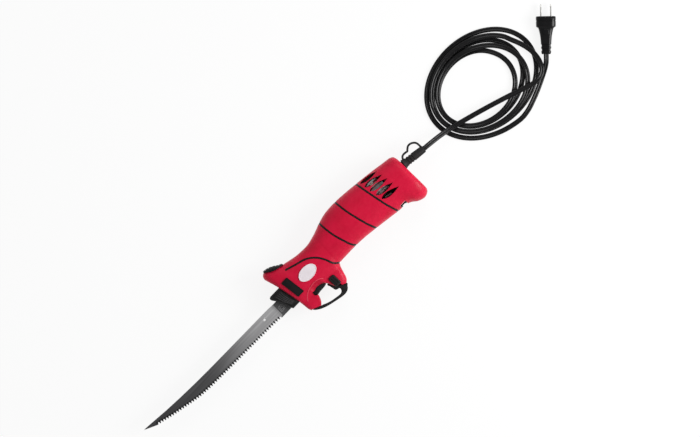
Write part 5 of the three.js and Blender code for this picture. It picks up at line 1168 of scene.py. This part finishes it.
# A cradle in the joint plane holds the motor and closes the view through both sets of vents; its near-black
# colour is painted shade
plates = combine(block(*CRADLE_PLATE), [block(*CRADLE_BLOCK)], "UNION")
cradle = combine(body_solid(-CRADLE_DEPTH, lobed=False), [plates], "INTERSECT")
combine(cradle, [on_shaft(CRADLE_SEAT), on_shaft(CRADLE_SHAFT, 32), block(*CRADLE_FAN_ROOM)])
finish_piece(cradle, "motor_cradle", PAINTED_SHADE_INSIDE)

# Brush tabs of the motor, behind the second and the last vent
for name, (outline, corner, *heights) in BRUSH_PARTS.items():
    tab = rounded_prism(rounded(outline, corner), *heights, BRUSH_EDGE, 2)
    finish_piece(tab, name, HOLDER)


def wire(points):
    return tube(spline(points, 6), WIRE_RADIUS)


supply = np.asarray(SUPPLY_ROUTE)
finish_piece(wire(supply), "supply_wire", VINYL, ["supply_lead"])
motor_wire = wire(supply[MOTOR_LEAD_START:] * [1, 1, -1])
finish_piece(motor_wire, "motor_wire", VINYL, ["motor_lead"])


def spring(start, along, length, radius, wire_radius, curls):
    """A coil spring as one swept wire."""
    along = np.asarray(along, float)
    side = np.array([1.0, 0.0, 0.0])
    other = np.cross(along, side)
    turns = np.linspace(0, curls, curls * 24 + 1)[:, None]
    angle = 2 * math.pi * turns
    out = np.cos(angle) * side + np.sin(angle) * other
    rise = wire_radius + (length - 2 * wire_radius) * turns / curls
    centres = np.asarray(start, float) + radius * out + rise * along
    section = ellipse(0, 0, wire_radius, wire_radius, 10)
    return loft([c + section[:, :1] * o + section[:, 1:] * along for c, o in zip(centres, out)])


for place, measures in SPRINGS.items():
    finish_piece(spring(*measures), f"{place}_coil", STEEL, [f"{place}_spring"])

# Cord, strain relief and plug

boot = turned(RELIEF_PROFILE, RELIEF_CENTRE, RELIEF_AXIS)
finish_piece(boot, "cord_boot", BOOT, ["strain_relief"])
loop = tube(level(spline(HANG_LOOP, 8), 0.0), HANG_LOOP_RADIUS, 14)
finish_piece(loop, "hang_ring", BOOT)


def smoothstep(low, high, value):
    share = np.clip((value - low) / (high - low), 0, 1)
    return share * share * (3 - 2 * share)


def coil_points():
    """Centres of the coil: two turns inwards on an upper layer, then outwards on the ground."""
    turns = np.linspace(0, COIL_TURNS, round(COIL_TURNS * COIL_STEPS) + 1)
    angle = COIL_START + 2 * math.pi * turns
    drawn_in = (SECOND_SPREAD - FIRST_SPREAD) * smoothstep(*DRAW_IN, turns)
    upper = FIRST_SPREAD + drawn_in - SECOND_SPREAD * smoothstep(*CLOSE_UP, turns)
    lower = (turns - COIL_REVERSAL) / LOWER_TURNS
    width = np.where(turns < COIL_REVERSAL, upper, lower)
    half_x, half_y = (COIL_HALF[k] + COIL_HALF_GROWTH[k] * width for k in range(2))
    middle_x, middle_y = (COIL_MIDDLE[k] + COIL_MIDDLE_GROWTH[k] * width for k in range(2))
    x = middle_x + half_x * np.cos(angle) + COIL_LEAN * width * np.sin(angle)
    y = middle_y + half_y * np.sin(angle)
    return np.column_stack([x, y, CORD_REST + LAYER_STEP * (1 - smoothstep(*STEP_DOWN, turns))])


def twin_section():
    """Section of a flat twin cord: two round cores side by side with a groove between them."""
    radius = CORD_HEIGHT / 2
    reach = CORD_WIDTH / 2 - radius
    meet = math.acos(reach / radius)
    angle = np.linspace(meet - math.pi, math.pi - meet, 13)
    lobe = np.column_stack([reach + radius * np.cos(angle), radius * np.sin(angle)])
    return np.vstack([lobe, -lobe])


cord_knots = np.vstack([LEAD_ROUTE, coil_points(), TAIL_ROUTE]) + [0, 0, FLOOR_Z]
cord_line = spline(cord_knots, 4)
cord = swept(cord_line, twin_section())
finish_piece(cord, "power_cord", VINYL, ["cord_lead", "cord_coil", "cord_tail"], crease=50)


def plug_points(along, across, height):
    x = PLUG_START[0] + along * PLUG_AXIS[0] - across * PLUG_AXIS[1]
    y = PLUG_START[1] + along * PLUG_AXIS[1] + across * PLUG_AXIS[0]
    return np.column_stack(np.broadcast_arrays(x, y, FLOOR_Z + PLUG_HEIGHT + height))


def plug_ring(along, half_width, half_height, sides=56):
    angle = 2 * math.pi * (np.arange(sides) + 0.5) / sides
    across, up = (np.sign(wave) * np.abs(wave) ** 0.5 for wave in (np.cos(angle), np.sin(angle)))
    return plug_points(along, across * half_width, up * half_height)


def plug_prism(outline, z0, z1, radius):
    """A rounded prism in the plug's frame: along it, across it, and up from its middle."""
    shape = rounded_prism(outline, z0, z1, radius, 3)
    place = plug_points(0.0, 0.0, 0.0)[0]
    shape.data.transform(Matrix.Translation(place) @ Matrix.Rotation(PLUG_ANGLE, 4, "Z"))
    return shape


def prong(side):
    """Flat plug blade with a round hole and a tapered end."""
    middle = side * PRONG_SPACING / 2
    half = PRONG_THICKNESS / 2
    end = PLUG_LENGTH + PRONG_LENGTH
    height = PRONG_HALF_HEIGHT[side]
    rings = []
    for back, thin, low in PRONG_TAPER:
        section = rounded(rectangle(half - thin, thin - half, low - height, height - low), PRONG_CORNER, 3)
        rings.append(plug_points(end - back, middle + section[:, 0], section[:, 1]))
    centre = plug_points(end - PRONG_HOLE_BACK, middle, 0.0)[0]
    hole = turned(PRONG_HOLE, centre, (-PLUG_AXIS[1], PLUG_AXIS[0], 0.0), 28)
    return combine(loft(rings), [hole])


plug = loft([plug_ring(*row) for row in PLUG_PROFILE])
patch = plug_prism(rounded(rectangle(*PLUG_PATCH), PATCH_CORNER), *PATCH_Z, PATCH_EDGE)
combine(plug, [patch], "UNION")
seats = []
for side, height in PRONG_HALF_HEIGHT.items():
    middle = side * PRONG_SPACING / 2
    half = PRONG_THICKNESS / 2 + PRONG_PLAY
    ends = (PLUG_LENGTH - PRONG_SEAT - GAP, PLUG_LENGTH + PRONG_SEAT)
    outline = rectangle(*ends, middle - half, middle + half)
    seats.append(plug_prism(outline, -height - PRONG_PLAY, height + PRONG_PLAY, SEAT_EDGE))
combine(plug, seats)
finish_piece(plug, "plug_shell", VINYL, ["plug_body"])
for kind, side in (("wide", -1), ("narrow", 1)):
    finish_piece(prong(side), f"plug_blade_{kind}", NICKEL, [f"{kind}_prong"])

# Parts that keep their CAD shape, all inside the handle

KEPT = [
    (NYLON, ["left_drive_arm", "right_drive_arm", "arm_guide"]),
    (NYLON, ["worm_gear", "cooling_fan", "switch_plunger"]),
    (STEEL, ["motor_front_plate", "motor_shaft", "worm", "gear_axle", "trigger_pin"]),
    (FERRITE, ["upper_magnet", "lower_magnet"]),
    (COPPER, ["rotor_core", "commutator"]),
    (BRONZE, ["shaft_bearing"]),
    (GREY, ["power_switch"]),
    (LAMINATE, ["rectifier_board"]),
]
for material, nodes in KEPT:
    for node in nodes:
        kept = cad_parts[node]
        kept.data.materials.clear()
        kept.data.materials.append(material)

# Ground, light and camera


def ground():
    """A large pale floor. To the camera and in mirrors it is lightened, and it keeps its shadows."""
    mesh = bpy.data.meshes.new("ground")
    corners = [(x, y, 0) for x, y in rectangle(-GROUND_HALF, GROUND_HALF, -GROUND_HALF, GROUND_HALF)]
    mesh.from_pydata(corners, [], [(0, 1, 2, 3)])
    obj = add_object("ground", mesh)
    material = bpy.data.materials.new("pale ground")
    material.use_nodes = True
    tree = material.node_tree
    tree.nodes.clear()
    diffuse = add_node(material, "ShaderNodeBsdfDiffuse", {"Color": (*GROUND_COLOR, 1)})["BSDF"]
    glow = add_node(material, "ShaderNodeEmission", {})["Emission"]
    rays = add_node(material, "ShaderNodeLightPath", {})
    share = rays["Is Camera Ray"]
    steps = [
        ("MAXIMUM", rays["Is Glossy Ray"]),
        ("MAXIMUM", rays["Is Transmission Ray"]),
        ("MULTIPLY", GROUND_GLOW),
    ]
    for operation, other in steps:
        node = tree.nodes.new("ShaderNodeMath")
        node.operation = operation
        share = wired(material, node, {0: share, 1: other})["Value"]
    mix = add_node(material, "ShaderNodeMixShader", {"Fac": share, 1: diffuse, 2: glow})["Shader"]
    add_node(material, "ShaderNodeOutputMaterial", {"Surface": mix})
    mesh.materials.append(material)


def sky():
    """Even soft light that is dimmer overhead than at the sides."""
    world = bpy.data.worlds.new("studio")
    bpy.context.scene.world = world
    world.use_nodes = True
    place = add_node(world, "ShaderNodeTexCoord", {})["Generated"]
    height = add_node(world, "ShaderNodeSeparateXYZ", {"Vector": place})["Z"]
    strength = spread(world, height, SKY_HEIGHTS, SKY_STRENGTHS)
    wired(world, world.node_tree.nodes["Background"], {"Color": (1, 1, 1, 1), "Strength": strength})


picture_right = Vector((math.cos(CAMERA_ROLL), math.sin(CAMERA_ROLL), 0))
picture_up = Vector((-math.sin(CAMERA_ROLL), math.cos(CAMERA_ROLL), 0))
centre = TO_ROW @ Vector((*CAMERA_CENTRE, 0))


def softbox(name, rightwards, upwards, height, size, power):
    """An area light that faces the middle of the picture, placed in metres by the picture's directions."""
    light = bpy.data.lights.new(name, "AREA")
    light.shape = "SQUARE"
    light.size = size
    light.energy = power
    obj = add_object(name, light)
    obj.location = centre + rightwards * picture_right + upwards * picture_up + Vector((0, 0, height))
    obj.rotation_euler = (centre - obj.location).to_track_quat("-Z", "Y").to_euler()


def camera():
    data = bpy.data.cameras.new("camera")
    data.sensor_width = SENSOR_WIDTH
    data.lens = SENSOR_WIDTH * CAMERA_HEIGHT / PICTURE_WIDTH
    data.clip_end = CLIP_END
    obj = add_object("camera", data)
    obj.location = centre + Vector((0, 0, CAMERA_HEIGHT))
    obj.rotation_euler = (0, 0, CAMERA_ROLL)
    bpy.context.scene.camera = obj


ground()
sky()
for name, measures in SOFTBOXES.items():
    softbox(name, *measures)
camera()
bpy.context.scene.view_settings.view_transform = "Standard"
